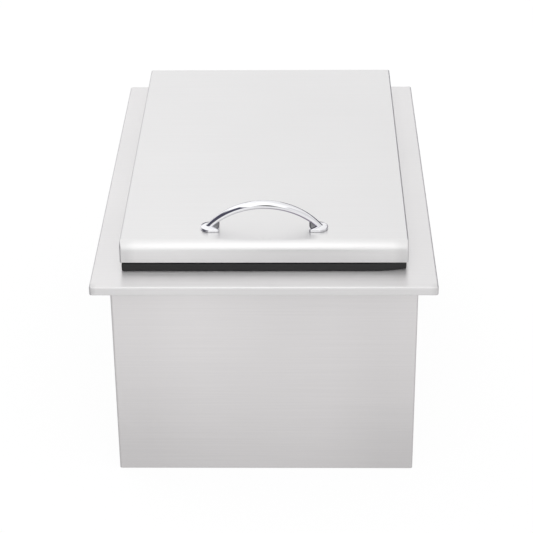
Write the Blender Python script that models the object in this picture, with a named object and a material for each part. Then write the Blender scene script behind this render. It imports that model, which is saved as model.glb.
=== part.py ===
"""Drop in ice bin: an insulated stainless tub that hangs in a counter by its top flange, under a hinged lid.

Metres, +Z up. The origin lies in the middle of the flange's plan, level with the shell's underside,
and the front, where the lid's rounded edge and its handle are, faces -Y.

Most pieces are folded sheet. Each is drawn as rings, rounded rectangles or circles with the same count
of points, that run along the sheet's visible side from one free edge to the other.
"""

import math
from collections import namedtuple

import bmesh
import bpy
from mathutils import Vector

# Clearances, and how finely round shapes are divided
FIT = 0.0003
OVERRUN = 0.002
SHARP = 0.0002
CORNER_STEPS = 5
BEND_STEPS = 2
NOSE_STEPS = 8
ROUND_STEPS = 30
SMALL_STEPS = 12
SMOOTH_ANGLE = math.radians(30)

# Top flange: a plate whose outer edge turns down as a skirt with a hem, and its mouth into the tub
FLANGE_WIDTH = 0.432
FLANGE_DEPTH = 0.635
FLANGE_TOP = 0.287
FLANGE_CORNER = 0.003
FLANGE_SHEET = 0.0012
FLANGE_BEND = 0.0022
SKIRT_DROP = 0.0118
HEM_WIDTH = 0.010
HEM_BEND = 0.0016
MOUTH_DROP = 0.010
MOUTH_BEND = 0.004
MOUTH_MARGIN = 0.005

# Outer shell: the box below the flange, with a recess in its underside round the drain's nut
OVERHANG = 0.0232
SHELL_SHEET = 0.0012
SHELL_CORNER = 0.0025
SHELL_BEND = 0.002
SHELL_LIP = 0.010
RECESS_MARGIN = 0.0125
RECESS_DEPTH = 0.020
RECESS_CORNER = 0.008

# Inner liner: the tub, coved where walls and floor meet, its floor falling to a round seat for the drain
LINER_SHEET = 0.0012
LINER_CORNER = 0.022
LINER_COVE = 0.020
FLOOR_HEIGHT = 0.040
FLOOR_FALL = 0.004
SEAT_RIM_RADIUS = 0.0345
SEAT_RADIUS = 0.031
SEAT_DEPTH = 0.0045
FOAM_CHAMFER = 0.002

# Drain: a flanged body with a grate and a plug seat, clamped to liner and shell by a nut from below
DRAIN_FLANGE_RADIUS = 0.030
DRAIN_FLANGE_SHEET = 0.002
BARREL_RADIUS = 0.0225
BARREL_BOTTOM = 0.0105
SPIGOT_RADIUS = 0.0145
SPIGOT_BORE = 0.011
SPIGOT_BOTTOM = 0.0025
PLUG_TOP_RADIUS = 0.0212
PLUG_BOTTOM_RADIUS = 0.0190
PLUG_DEPTH = 0.0090
BOWL_RADIUS = 0.016
BOWL_DEPTH = 0.0065
BOWL_CONE = 0.004
GRATE_SHEET = 0.0015
GRATE_HOLE_RADIUS = 0.0024
GRATE_CIRCLE_RADIUS = 0.0105
GRATE_HOLES = 8
UPPER_WASHER_RADIUS = 0.0285
LOWER_WASHER_RADIUS = 0.0295
WASHER_SHEET = 0.0015
DRAIN_NUT_FLATS = 0.054
DRAIN_NUT_HEIGHT = 0.006
STOPPER_RIM_RADIUS = 0.0255
STOPPER_RIM_SHEET = 0.0028
STOPPER_RIM_CHAMFER = 0.001
STOPPER_TAPER_DEPTH = 0.0072
KNOB_NECK_RADIUS = 0.0032
KNOB_RADIUS = 0.0062
KNOB_NECK = 0.0045
KNOB_HEIGHT = 0.0075
KNOB_FULL_SHARES = (1 / 3, 2 / 3)

# Lid: an outer skin with a rounded front edge, closed below by a pan with turned up edges
LID_SIDE_MARGIN = 0.0356
LID_FRONT_MARGIN = 0.0402
LID_REAR_MARGIN = 0.0293
LID_HEIGHT = 0.0265
LID_CORNER = 0.0022
LID_BEND = 0.0015
LID_SHEET = 0.001
BULLNOSE_RADIUS = 0.0127
PAN_SHEET = 0.0008
PAN_BEND = 0.0015
PAN_WALL = 0.012
PRESS_MARGIN = 0.020
PRESS_RISE = 0.003
PRESS_CORNER = 0.018
REAR_CHANNEL = 0.014
POCKET_CLEARANCE = 0.002

# Gasket under the lid's edge
GASKET_HEIGHT = 0.0127
GASKET_WIDTH = 0.016
GASKET_CHAMFER = 0.0016
GASKET_SIDE_INSET = 0.0019

# Handle: an arched bar on two feet, round outside and square inside, with a web between foot and bar
HANDLE_SETBACK = 0.0412
HANDLE_SPACING = 0.137
HANDLE_RISE = 0.0335
HANDLE_END_RISE = 0.0047
BAR_RADIUS = 0.0055
BAR_END_RADIUS = 0.0038
BAR_END_HEIGHT = 0.0015
FOOT_RADIUS = 0.012
FOOT_HEIGHT = 0.0040
FOOT_CHAMFER = 0.0007
FOOT_CORNER = 0.0025
WEB_SHEET = 0.0064
WEB_INSET = 0.0004
ARCH_STEPS = 24
HANDLE_SCREW_RADIUS = 0.0025
HANDLE_SCREW_REACH = 0.0048
HANDLE_PLATE_WIDTH = 0.024
HANDLE_PLATE_SHEET = 0.002

# Hinges: two butt hinges behind the lid. A lip on each fixed leaf meets the open lid at the stop angle
STOP_ANGLE = math.radians(96.5)
HINGE_SIDE_MARGIN = 0.0754
LEAF_WIDTH = 0.050
LEAF_SHEET = 0.0015
LEAF_REACH = 0.020
LEAF_TOP_MARGIN = 0.0035
PIN_RADIUS = 0.0015
PIN_HEAD_RADIUS = 0.0026
PIN_HEAD = 0.0008
KNUCKLES = 5
KNUCKLE_GAP = 0.0005
KNUCKLE_STEPS = 9
SCREW_SPACING = 0.028
SCREW_RADIUS = 0.002
SCREW_HEAD_RADIUS = 0.0038
SCREW_HEAD = 0.0014
SCREW_HEAD_EDGE = 0.0006
SCREW_CROWN_RADIUS = 0.0026
SCREW_TIP = 0.001
NUT_FLATS = 0.007
NUT_HEIGHT = 0.0032
BACKING_SHEET = 0.002
BACKING_HEIGHT = 0.0105

# Plans and levels that the sizes above give
Outline = namedtuple("Outline", "half_width front rear corner")
FLANGE = Outline(FLANGE_WIDTH / 2, -FLANGE_DEPTH / 2, FLANGE_DEPTH / 2, FLANGE_CORNER)
SHELL = Outline(
    FLANGE.half_width - OVERHANG, FLANGE.front + OVERHANG, FLANGE.rear - OVERHANG, SHELL_CORNER
)
LID_WIDTH = FLANGE_WIDTH - 2 * LID_SIDE_MARGIN
LID_DEPTH = FLANGE_DEPTH - LID_FRONT_MARGIN - LID_REAR_MARGIN
LID_FRONT = FLANGE.front + LID_FRONT_MARGIN
LID = Outline(LID_WIDTH / 2, LID_FRONT, LID_FRONT + LID_DEPTH, LID_CORNER)
GASKET = Outline(LID.half_width - GASKET_SIDE_INSET, LID.front, LID.rear, LID_CORNER)
MOUTH_INSET = GASKET_WIDTH + MOUTH_MARGIN
MOUTH = Outline(
    GASKET.half_width - MOUTH_INSET, LID.front + MOUTH_INSET, LID.rear - MOUTH_INSET, LINER_CORNER
)
DRAIN_Y = (MOUTH.front + MOUTH.rear) / 2
RECESS_SIZE = 2 * (LOWER_WASHER_RADIUS + RECESS_MARGIN)
RECESS = Outline(
    RECESS_SIZE / 2, DRAIN_Y - RECESS_SIZE / 2, DRAIN_Y + RECESS_SIZE / 2, RECESS_CORNER
)

SHELL_TOP = FLANGE_TOP - FLANGE_SHEET - FIT
LINER_TOP = FLANGE_TOP - MOUTH_DROP - FIT
SEAT_HEIGHT = FLOOR_HEIGHT - SEAT_DEPTH
DRAIN_FLANGE_BOTTOM = SEAT_HEIGHT + FIT + WASHER_SHEET + FIT
DRAIN_TOP = DRAIN_FLANGE_BOTTOM + DRAIN_FLANGE_SHEET
LEDGE_HEIGHT = DRAIN_TOP - PLUG_DEPTH - FIT - GRATE_SHEET
BORE_RADIUS = BARREL_RADIUS + FIT

LID_BOTTOM = FLANGE_TOP + FIT + GASKET_HEIGHT + FIT
LID_TOP = LID_BOTTOM + LID_HEIGHT
LID_UNDERSIDE = LID_TOP - LID_SHEET - FIT
HANDLE_Y = LID.front + HANDLE_SETBACK
HANDLE_PLATE_BOTTOM = LID_UNDERSIDE - HANDLE_PLATE_SHEET

HINGE_SPACING = LID_WIDTH - 2 * HINGE_SIDE_MARGIN
KNUCKLE_RADIUS = PIN_RADIUS + FIT + LEAF_SHEET
HINGE_Y = LID.rear + FIT + KNUCKLE_RADIUS
HINGE_Z = FLANGE_TOP + FIT + KNUCKLE_RADIUS
LEAF_FACE = KNUCKLE_RADIUS - LEAF_SHEET
FIXED_SCREW_Y = (SHELL.rear + FLANGE.rear - HEM_WIDTH) / 2
BACKING_BOTTOM = LID_BOTTOM + PAN_WALL + FIT
MOVING_SCREW_Z = BACKING_BOTTOM + BACKING_HEIGHT / 2
BACKING_FACE = LID.rear - LID_SHEET - FIT

UP = Vector((0, 0, 1))
DOWN = -UP
RIGHT = Vector((1, 0, 0))
REARWARD = Vector((0, 1, 0))

# Looks: colour, roughness and metallic value
BRUSHED = ((0.66, 0.66, 0.65), 0.32, 1.0)
SATIN = ((0.60, 0.60, 0.59), 0.40, 1.0)
CHROME = ((0.82, 0.82, 0.84), 0.05, 1.0)
RUBBER = ((0.015, 0.015, 0.016), 0.65, 0.0)
FOAM = ((0.80, 0.72, 0.48), 0.90, 0.0)
BRASS = ((0.70, 0.55, 0.28), 0.35, 1.0)


def clear_scene():
    for thing in list(bpy.data.objects):
        bpy.data.objects.remove(thing, do_unlink=True)


def finish(thing, look):
    """Give the piece a material of its own."""
    colour, roughness, metallic = look
    material = bpy.data.materials.new(thing.name)
    material.use_nodes = True
    shader = material.node_tree.nodes["Principled BSDF"]
    shader.inputs["Base Color"].default_value = (*colour, 1.0)
    shader.inputs["Roughness"].default_value = roughness
    shader.inputs["Metallic"].default_value = metallic
    material.diffuse_color = (*colour, 1.0)
    thing.data.materials.append(material)
    return thing


def placed(name, mesh_builder):
    """Turn a filled bmesh into an object that is smooth but for its true edges."""
    mesh = bpy.data.meshes.new(name)
    mesh_builder.to_mesh(mesh)
    mesh_builder.free()
    mesh.shade_smooth()
    mesh.set_sharp_from_angle(angle=SMOOTH_ANGLE)
    thing = bpy.data.objects.new(name, mesh)
    bpy.context.scene.collection.objects.link(thing)
    return thing


def add_skin(builder, rings, closed=False, first_cap=False, last_cap=False):
    """Join each ring to the next with triangles, always split the same way, and fill the ends asked for."""
    rows = [[builder.verts.new(point) for point in ring] for ring in rings]
    pairs = list(zip(rows, rows[1:]))
    if closed:
        pairs.append((rows[-1], rows[0]))
    for lower, upper in pairs:
        for index, corner in enumerate(lower):
            following = (index + 1) % len(lower)
            builder.faces.new((corner, lower[following], upper[following]))
            builder.faces.new((corner, upper[following], upper[index]))
    if first_cap:
        builder.faces.new(reversed(rows[0]))
    if last_cap:
        builder.faces.new(rows[-1])


def skin(name, rings, **ends):
    """An object whose surface runs through the rings. A body with no free edge is turned to face outwards."""
    builder = bmesh.new()
    add_skin(builder, rings, **ends)
    if ends.get("closed") or (ends.get("first_cap") and ends.get("last_cap")):
        bmesh.ops.recalc_face_normals(builder, faces=builder.faces)
    return placed(name, builder)


def folded(thing, sheet):
    """Thicken the drawn side of a sheet towards its hidden side."""
    modifier = thing.modifiers.new("sheet", "SOLIDIFY")
    modifier.thickness = sheet
    modifier.offset = -1
    modifier.use_even_offset = True
    modifier.use_quality_normals = True
    return thing


def combined(thing, operation, helpers):
    """Cut the helpers out of the piece, or join them to it. They stay in the scene as wire guides."""
    for helper in helpers:
        helper.hide_render = True
        helper.display_type = "WIRE"
        helper.parent = thing
        modifier = thing.modifiers.new(helper.name, "BOOLEAN")
        modifier.operation = operation
        modifier.solver = "EXACT"
        modifier.object = helper
    return thing


def ring(outline, inset, height):
    """A rounded rectangle, anticlockwise from above, drawn in by inset from the outline at that height."""
    corner = max(outline.corner - inset, SHARP)
    right = outline.half_width - inset - corner
    front = outline.front + inset + corner
    rear = outline.rear - inset - corner
    centres = ((right, rear), (-right, rear), (-right, front), (right, front))
    points = []
    for quarter, (x, y) in enumerate(centres):
        for step in range(CORNER_STEPS + 1):
            angle = (quarter + step / CORNER_STEPS) * math.pi / 2
            points.append(Vector((x + corner * math.cos(angle), y + corner * math.sin(angle), height)))
    return points


def drain_ring(radius, height):
    """A circle round the drain's axis, with the same count of points as ring and in the same order."""
    count = 4 * (CORNER_STEPS + 1)
    angles = [2 * math.pi * (index + 0.5) / count for index in range(count)]
    return [
        Vector((radius * math.cos(angle), DRAIN_Y + radius * math.sin(angle), height))
        for angle in angles
    ]


def filleted(corners):
    """Points of an open line through (inset, height, radius) corners, rounded where a radius is given."""
    points = []
    for index, (inset, height, radius) in enumerate(corners):
        corner = Vector((inset, height))
        if not radius:
            points.append(corner)
            continue
        back = (Vector(corners[index - 1][:2]) - corner).normalized()
        onward = (Vector(corners[index + 1][:2]) - corner).normalized()
        half_angle = back.angle(onward) / 2
        centre = corner + (back + onward).normalized() * radius / math.sin(half_angle)
        start = corner + back * radius / math.tan(half_angle) - centre
        end = corner + onward * radius / math.tan(half_angle) - centre
        sweep = math.pi - 2 * half_angle
        for step in range(BEND_STEPS + 1):
            turn = sweep * step / BEND_STEPS
            points.append(centre + (start * math.sin(sweep - turn) + end * math.sin(turn)) / math.sin(sweep))
    return points


def turned(name, profile, origin, direction=UP, steps=ROUND_STEPS, closed=False):
    """A body of revolution through (radius, distance) points along a direction from the origin."""
    turn = direction.to_track_quat("Z", "Y").to_matrix()
    angles = [2 * math.pi * index / steps for index in range(steps)]
    rings = [
        [origin + turn @ Vector((radius * math.cos(a), radius * math.sin(a), along)) for a in angles]
        for radius, along in profile
    ]
    return skin(name, rings, closed=closed, first_cap=not closed, last_cap=not closed)


def rods(name, origins, radius, direction, length):
    """One guide made of equal round rods, which start at the origins and run along the direction."""
    builder = bmesh.new()
    turn = direction.to_track_quat("Z", "Y").to_matrix()
    angles = [2 * math.pi * index / SMALL_STEPS for index in range(SMALL_STEPS)]
    for origin in origins:
        rings = [
            [origin + turn @ Vector((radius * math.cos(a), radius * math.sin(a), along)) for a in angles]
            for along in (0, length)
        ]
        add_skin(builder, rings, first_cap=True, last_cap=True)
    bmesh.ops.recalc_face_normals(builder, faces=builder.faces)
    return placed(name, builder)


def block(name, low, high):
    """A box between two opposite corners."""
    plan = ((low[0], low[1]), (high[0], low[1]), (high[0], high[1]), (low[0], high[1]))
    rings = [[Vector((x, y, z)) for x, y in plan] for z in (low[2], high[2])]
    return skin(name, rings, first_cap=True, last_cap=True)


def hexagonal_nut(name, flats, bore, height, top_centre):
    """A nut that hangs down from the middle of its top face."""
    angles = [2 * math.pi * index / ROUND_STEPS for index in range(ROUND_STEPS)]
    sixth = math.pi / 3
    hexagon = [flats / 2 / math.cos(angle % sixth - sixth / 2) for angle in angles]
    rings = [
        [
            top_centre + Vector((radius * math.cos(angle), radius * math.sin(angle), -drop))
            for radius, angle in zip(radii, angles)
        ]
        for radii, drop in (
            (hexagon, height),
            (hexagon, 0),
            ([bore] * ROUND_STEPS, 0),
            ([bore] * ROUND_STEPS, height),
        )
    ]
    return skin(name, rings, closed=True)


def pan_head_screw(name, seat, direction, shank_radius, length):
    """A screw whose head's underside is at the seat and whose shank runs along the direction."""
    profile = (
        (SCREW_CROWN_RADIUS, -SCREW_HEAD),
        (SCREW_HEAD_RADIUS, -SCREW_HEAD_EDGE),
        (SCREW_HEAD_RADIUS, 0),
        (shank_radius, 0),
        (shank_radius, length),
    )
    return turned(name, profile, seat, direction, steps=SMALL_STEPS)


def sides(spacing):
    """The two sides of the part as (word, x) pairs."""
    return (("left", -spacing / 2), ("right", spacing / 2))


def hinge_screw_xs():
    """The x of each hinge screw, with the words that name it."""
    for side, hinge_x in sides(HINGE_SPACING):
        for end, screw_x in sides(SCREW_SPACING):
            yield f"{side}_{end}", hinge_x + screw_x


def top_flange():
    skirt_bottom = FLANGE_TOP - SKIRT_DROP
    edge = filleted(
        (
            (HEM_WIDTH, skirt_bottom, 0),
            (0, skirt_bottom, HEM_BEND),
            (0, FLANGE_TOP, FLANGE_BEND),
            (OVERHANG, FLANGE_TOP, 0),
        )
    )
    mouth = filleted(
        (
            (-MOUTH_BEND - MOUTH_MARGIN, FLANGE_TOP, 0),
            (0, FLANGE_TOP, MOUTH_BEND),
            (0, FLANGE_TOP - MOUTH_DROP, 0),
        )
    )
    rings = [ring(FLANGE, inset, height) for inset, height in edge]
    rings += [ring(MOUTH, inset, height) for inset, height in mouth]
    flange = folded(skin("top_flange", rings), FLANGE_SHEET)
    starts = [Vector((x, FIXED_SCREW_Y, FLANGE_TOP + OVERRUN)) for _, x in hinge_screw_xs()]
    holes = rods("flange_screw_holes", starts, SCREW_RADIUS + FIT, DOWN, FLANGE_SHEET + 2 * OVERRUN)
    return finish(combined(flange, "DIFFERENCE", [holes]), BRUSHED)


def outer_shell():
    recess = filleted(
        (
            (RECESS_CORNER, RECESS_DEPTH, 0),
            (0, RECESS_DEPTH, SHELL_BEND),
            (0, 0, 0),
        )
    )
    wall = filleted(
        (
            (SHELL_LIP, 0, 0),
            (0, 0, SHELL_BEND),
            (0, SHELL_TOP, SHELL_BEND),
            (SHELL_LIP, SHELL_TOP, 0),
        )
    )
    rings = [drain_ring(BORE_RADIUS, RECESS_DEPTH)]
    rings += [ring(RECESS, inset, height) for inset, height in recess]
    rings += [ring(SHELL, inset, height) for inset, height in wall]
    return finish(folded(skin("outer_shell", rings), SHELL_SHEET), BRUSHED)


def liner_rings(grow):
    """Rings down the tub's inner face, its cove, its floor and the drain's seat, moved outwards by grow."""
    floor_edge = FLOOR_HEIGHT + FLOOR_FALL
    cove = LINER_COVE + grow
    rings = [ring(MOUTH, -grow, LINER_TOP)]
    for step in range(CORNER_STEPS + 1):
        angle = step / CORNER_STEPS * math.pi / 2
        inset = cove * (1 - math.cos(angle)) - grow
        rings.append(ring(MOUTH, inset, floor_edge + LINER_COVE - cove * math.sin(angle)))
    rings.append(drain_ring(SEAT_RIM_RADIUS + grow, FLOOR_HEIGHT - grow))
    rings.append(drain_ring(SEAT_RADIUS + grow, SEAT_HEIGHT - grow))
    rings.append(drain_ring(BORE_RADIUS, SEAT_HEIGHT - grow))
    return rings


def inner_liner():
    return finish(folded(skin("inner_liner", liner_rings(0)), LINER_SHEET), BRUSHED)


def wall_insulation():
    """Foam that fills the space between shell and liner, up to the shell's top lip."""
    wall = SHELL_SHEET + FIT
    top = SHELL_TOP - SHELL_SHEET - FIT
    rings = [
        drain_ring(BORE_RADIUS, RECESS_DEPTH + wall),
        ring(RECESS, -wall, RECESS_DEPTH + wall),
        ring(RECESS, -wall, wall + FOAM_CHAMFER),
        ring(RECESS, -wall - FOAM_CHAMFER, wall),
        ring(SHELL, wall + FOAM_CHAMFER, wall),
        ring(SHELL, wall, wall + FOAM_CHAMFER),
        ring(SHELL, wall, top - FOAM_CHAMFER),
        ring(SHELL, wall + FOAM_CHAMFER, top),
        ring(MOUTH, -MOUTH_BEND - FOAM_CHAMFER, top),
        ring(MOUTH, -LINER_SHEET - FIT, top - MOUTH_BEND - FOAM_CHAMFER),
    ]
    rings += liner_rings(LINER_SHEET + FIT)
    return finish(skin("wall_insulation", rings, closed=True), FOAM)


def drain_body():
    """Flange, threaded barrel and outlet spigot outside; plug seat, grate ledge, bowl and bore inside."""
    bowl_bottom = LEDGE_HEIGHT - BOWL_DEPTH
    profile = (
        (SPIGOT_RADIUS, SPIGOT_BOTTOM),
        (SPIGOT_RADIUS, BARREL_BOTTOM),
        (BARREL_RADIUS, BARREL_BOTTOM),
        (BARREL_RADIUS, DRAIN_FLANGE_BOTTOM),
        (DRAIN_FLANGE_RADIUS, DRAIN_FLANGE_BOTTOM),
        (DRAIN_FLANGE_RADIUS, DRAIN_TOP),
        (PLUG_TOP_RADIUS, DRAIN_TOP),
        (PLUG_BOTTOM_RADIUS, DRAIN_TOP - PLUG_DEPTH),
        (PLUG_BOTTOM_RADIUS, LEDGE_HEIGHT),
        (BOWL_RADIUS, LEDGE_HEIGHT),
        (BOWL_RADIUS, bowl_bottom),
        (SPIGOT_BORE, bowl_bottom - BOWL_CONE),
        (SPIGOT_BORE, SPIGOT_BOTTOM),
    )
    body = turned("drain_body", profile, Vector((0, DRAIN_Y, 0)), closed=True)
    return finish(body, SATIN)


def drain_grate():
    bottom = LEDGE_HEIGHT + FIT
    centre = Vector((0, DRAIN_Y, bottom))
    radius = PLUG_BOTTOM_RADIUS - FIT
    grate = turned("drain_grate", ((radius, 0), (radius, GRATE_SHEET)), centre)
    start = centre + DOWN * OVERRUN
    angles = [2 * math.pi * index / GRATE_HOLES for index in range(GRATE_HOLES)]
    starts = [start + GRATE_CIRCLE_RADIUS * Vector((math.cos(a), math.sin(a), 0)) for a in angles]
    holes = rods(
        "grate_holes", [start] + starts, GRATE_HOLE_RADIUS, UP, GRATE_SHEET + 2 * OVERRUN
    )
    return finish(combined(grate, "DIFFERENCE", [holes]), SATIN)


def drain_washer(name, radius, bottom):
    bore = BORE_RADIUS
    profile = ((radius, 0), (radius, WASHER_SHEET), (bore, WASHER_SHEET), (bore, 0))
    washer = turned(name, profile, Vector((0, DRAIN_Y, bottom)), closed=True)
    return finish(washer, RUBBER)


def drain_fastening():
    """The two washers and the nut that clamp the drain body to liner and shell."""
    washer_bottom = RECESS_DEPTH - FIT - WASHER_SHEET
    nut_top = Vector((0, DRAIN_Y, washer_bottom - FIT))
    nut = hexagonal_nut("drain_nut", DRAIN_NUT_FLATS, BORE_RADIUS, DRAIN_NUT_HEIGHT, nut_top)
    finish(nut, BRASS)
    drain_washer("drain_washer_upper", UPPER_WASHER_RADIUS, SEAT_HEIGHT + FIT)
    drain_washer("drain_washer_lower", LOWER_WASHER_RADIUS, washer_bottom)


def drain_stopper():
    """Rubber plug: a tapered body in the seat, a flat rim over the drain's flange and a knob to pull."""
    taper = (PLUG_TOP_RADIUS - PLUG_BOTTOM_RADIUS) / PLUG_DEPTH
    seat_top = PLUG_TOP_RADIUS - FIT
    rim_bottom = FIT
    rim_top = rim_bottom + STOPPER_RIM_SHEET
    knob_bottom = rim_top + KNOB_NECK
    profile = (
        (seat_top - taper * STOPPER_TAPER_DEPTH, -STOPPER_TAPER_DEPTH),
        (seat_top, 0),
        (seat_top, rim_bottom),
        (STOPPER_RIM_RADIUS, rim_bottom),
        (STOPPER_RIM_RADIUS, rim_top - STOPPER_RIM_CHAMFER),
        (STOPPER_RIM_RADIUS - STOPPER_RIM_CHAMFER, rim_top),
        (KNOB_NECK_RADIUS, rim_top),
        (KNOB_NECK_RADIUS, knob_bottom),
        *((KNOB_RADIUS, knob_bottom + KNOB_HEIGHT * share) for share in KNOB_FULL_SHARES),
        (KNOB_NECK_RADIUS, knob_bottom + KNOB_HEIGHT),
    )
    stopper = turned("drain_stopper", profile, Vector((0, 0, 0)))
    return finish(stopper, RUBBER)


def lid_rings(inset, bottom, rear):
    """Rings up the lid's form, moved inwards by inset: plain sides and rear, rounded front, flat top."""
    top = LID_TOP - inset
    nose = BULLNOSE_RADIUS - inset
    bend = max(LID_BEND - inset, 0)
    half_width = LID.half_width - inset
    front = LID.front + inset
    rings = [ring(Outline(half_width, front, rear, LID.corner), 0, bottom)]
    for step in range(NOSE_STEPS + 1):
        angle = step / NOSE_STEPS * math.pi / 2
        height = top - nose + nose * math.sin(angle)
        into_bend = max(height - top + bend, 0)
        side = bend - math.sqrt(bend**2 - into_bend**2) if into_bend else 0
        setback = nose * (1 - math.cos(angle))
        plan = Outline(half_width - side, front + setback, rear - side, LID.corner)
        rings.append(ring(plan, 0, height))
    return rings


def lid_skin():
    skin_piece = skin("lid_skin", lid_rings(0, LID_BOTTOM, LID.rear), last_cap=True)
    folded(skin_piece, LID_SHEET)
    foot_starts = [
        Vector((x, HANDLE_Y, LID_UNDERSIDE - OVERRUN)) for _, x in sides(HANDLE_SPACING)
    ]
    leaf_starts = [
        Vector((x, BACKING_FACE - OVERRUN, MOVING_SCREW_Z)) for _, x in hinge_screw_xs()
    ]
    length = LID_SHEET + FIT + 2 * OVERRUN
    holes = [
        rods("lid_handle_holes", foot_starts, HANDLE_SCREW_RADIUS + FIT, UP, length),
        rods("lid_hinge_holes", leaf_starts, SCREW_RADIUS + FIT, REARWARD, length),
    ]
    return finish(combined(skin_piece, "DIFFERENCE", holes), BRUSHED)


def lid_pan():
    """The lid's inner panel: a pressed field inside the gasket, and edges turned up inside the skin."""
    edge_inset = LID_SHEET + FIT
    press_inset = GASKET_WIDTH + PRESS_MARGIN
    press_plan = Outline(
        GASKET.half_width - press_inset, LID.front + press_inset, LID.rear - press_inset, PRESS_CORNER
    )
    pan_plan = Outline(
        LID.half_width - edge_inset, LID.front + edge_inset, LID.rear - edge_inset, LID.corner
    )
    press = filleted(
        (
            (PRESS_RISE + 2 * PAN_BEND, LID_BOTTOM + PRESS_RISE, 0),
            (PRESS_RISE, LID_BOTTOM + PRESS_RISE, PAN_BEND),
            (0, LID_BOTTOM, PAN_BEND),
            (-2 * PAN_BEND, LID_BOTTOM, 0),
        )
    )
    edge = filleted(
        (
            (2 * PAN_BEND, LID_BOTTOM, 0),
            (0, LID_BOTTOM, PAN_BEND),
            (0, LID_BOTTOM + PAN_WALL, 0),
        )
    )
    rings = [ring(press_plan, inset, height) for inset, height in press]
    rings += [ring(pan_plan, inset, height) for inset, height in edge]
    return finish(folded(skin("lid_pan", rings, first_cap=True), PAN_SHEET), BRUSHED)


def lid_insulation():
    """Foam between skin and pan, stopped short of the hinge plates and pocketed for the handle's plate."""
    inset = LID_SHEET + FIT + PAN_SHEET + FIT
    bottom = LID_BOTTOM + PRESS_RISE + PAN_SHEET + FIT
    rings = lid_rings(inset, bottom, LID.rear - REAR_CHANNEL)
    foam = skin("lid_insulation", rings, first_cap=True, last_cap=True)
    half_width = HANDLE_SPACING / 2 + HANDLE_PLATE_WIDTH / 2 + POCKET_CLEARANCE
    half_depth = HANDLE_PLATE_WIDTH / 2 + POCKET_CLEARANCE
    floor = HANDLE_PLATE_BOTTOM - FIT - SCREW_HEAD - POCKET_CLEARANCE
    pocket = block(
        "insulation_pocket",
        (-half_width, HANDLE_Y - half_depth, floor),
        (half_width, HANDLE_Y + half_depth, LID_TOP),
    )
    return finish(combined(foam, "DIFFERENCE", [pocket]), FOAM)


def lid_gasket():
    """A square rubber ring, flush with the lid's front and rear, its lower edges chamfered."""
    top = LID_BOTTOM - FIT
    bottom = top - GASKET_HEIGHT
    profile = (
        (GASKET_CHAMFER, bottom),
        (0, bottom + GASKET_CHAMFER),
        (0, top),
        (GASKET_WIDTH, top),
        (GASKET_WIDTH, bottom + GASKET_CHAMFER),
        (GASKET_WIDTH - GASKET_CHAMFER, bottom),
    )
    rings = [ring(GASKET, inset, height) for inset, height in profile]
    return finish(skin("lid_gasket", rings, closed=True), RUBBER)


def arched_bar(centre, radius):
    """The handle's bar: an arc, thinnest at its ends, which run on straight into the feet."""
    half_sweep = math.asin(HANDLE_SPACING / 2 / radius)
    angles = [2 * math.pi * index / SMALL_STEPS for index in range(SMALL_STEPS)]
    rings = []
    for step in range(ARCH_STEPS + 1):
        share = 2 * step / ARCH_STEPS - 1
        sweep = share * half_sweep
        outward = Vector((math.sin(sweep), 0, math.cos(sweep)))
        thickness = BAR_RADIUS + (BAR_END_RADIUS - BAR_RADIUS) * share**2
        rings.append(
            [
                centre + outward * (radius + thickness * math.cos(a)) + REARWARD * thickness * math.sin(a)
                for a in angles
            ]
        )
    buried = LID_TOP + BAR_END_HEIGHT
    ends = []
    for ring_points, outward in ((rings[0], -1), (rings[-1], 1)):
        onward = Vector((outward * math.cos(half_sweep), 0, -math.sin(half_sweep)))
        ends.append([point + onward * (point.z - buried) / math.sin(half_sweep) for point in ring_points])
    return skin("lid_handle", [ends[0], *rings, ends[1]], first_cap=True, last_cap=True)


def foot_ring(x, outward, inset, height):
    """A foot's plan drawn in by inset: half a circle outside, a square end with small corners inside."""
    middle = FOOT_RADIUS - FOOT_CORNER
    arcs = (
        (0, 0, FOOT_RADIUS - inset, -math.pi / 2, math.pi, ROUND_STEPS // 2),
        (-middle, middle, FOOT_CORNER - inset, math.pi / 2, math.pi / 2, CORNER_STEPS),
        (-middle, -middle, FOOT_CORNER - inset, math.pi, math.pi / 2, CORNER_STEPS),
    )
    points = []
    for along, across, radius, start, sweep, steps in arcs:
        for step in range(steps + 1):
            angle = start + sweep * step / steps
            reach = outward * (along + radius * math.cos(angle))
            points.append(Vector((x + reach, HANDLE_Y + across + radius * math.sin(angle), height)))
    return points


def handle_foot(name, x, outward):
    base = LID_TOP + FIT
    profile = ((0, base), (0, base + FOOT_HEIGHT - FOOT_CHAMFER), (FOOT_CHAMFER, base + FOOT_HEIGHT))
    rings = [foot_ring(x, outward, inset, height) for inset, height in profile]
    return skin(name, rings, first_cap=True, last_cap=True)


def foot_web(name, x, outward, centre, radius):
    """The upright wall that fills the gap between a foot's square end and the bar above it."""
    inner = x - outward * (FOOT_RADIUS - WEB_INSET)
    low = LID_TOP + FIT + FOOT_HEIGHT / 2
    high = centre.z + math.sqrt(radius**2 - inner**2)
    section = ((inner, low), (inner, high), (x, LID_TOP + HANDLE_END_RISE), (x, low))
    rings = [
        [Vector((along, HANDLE_Y + across, height)) for along, height in section]
        for across in (-WEB_SHEET / 2, WEB_SHEET / 2)
    ]
    return skin(name, rings, first_cap=True, last_cap=True)


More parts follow.
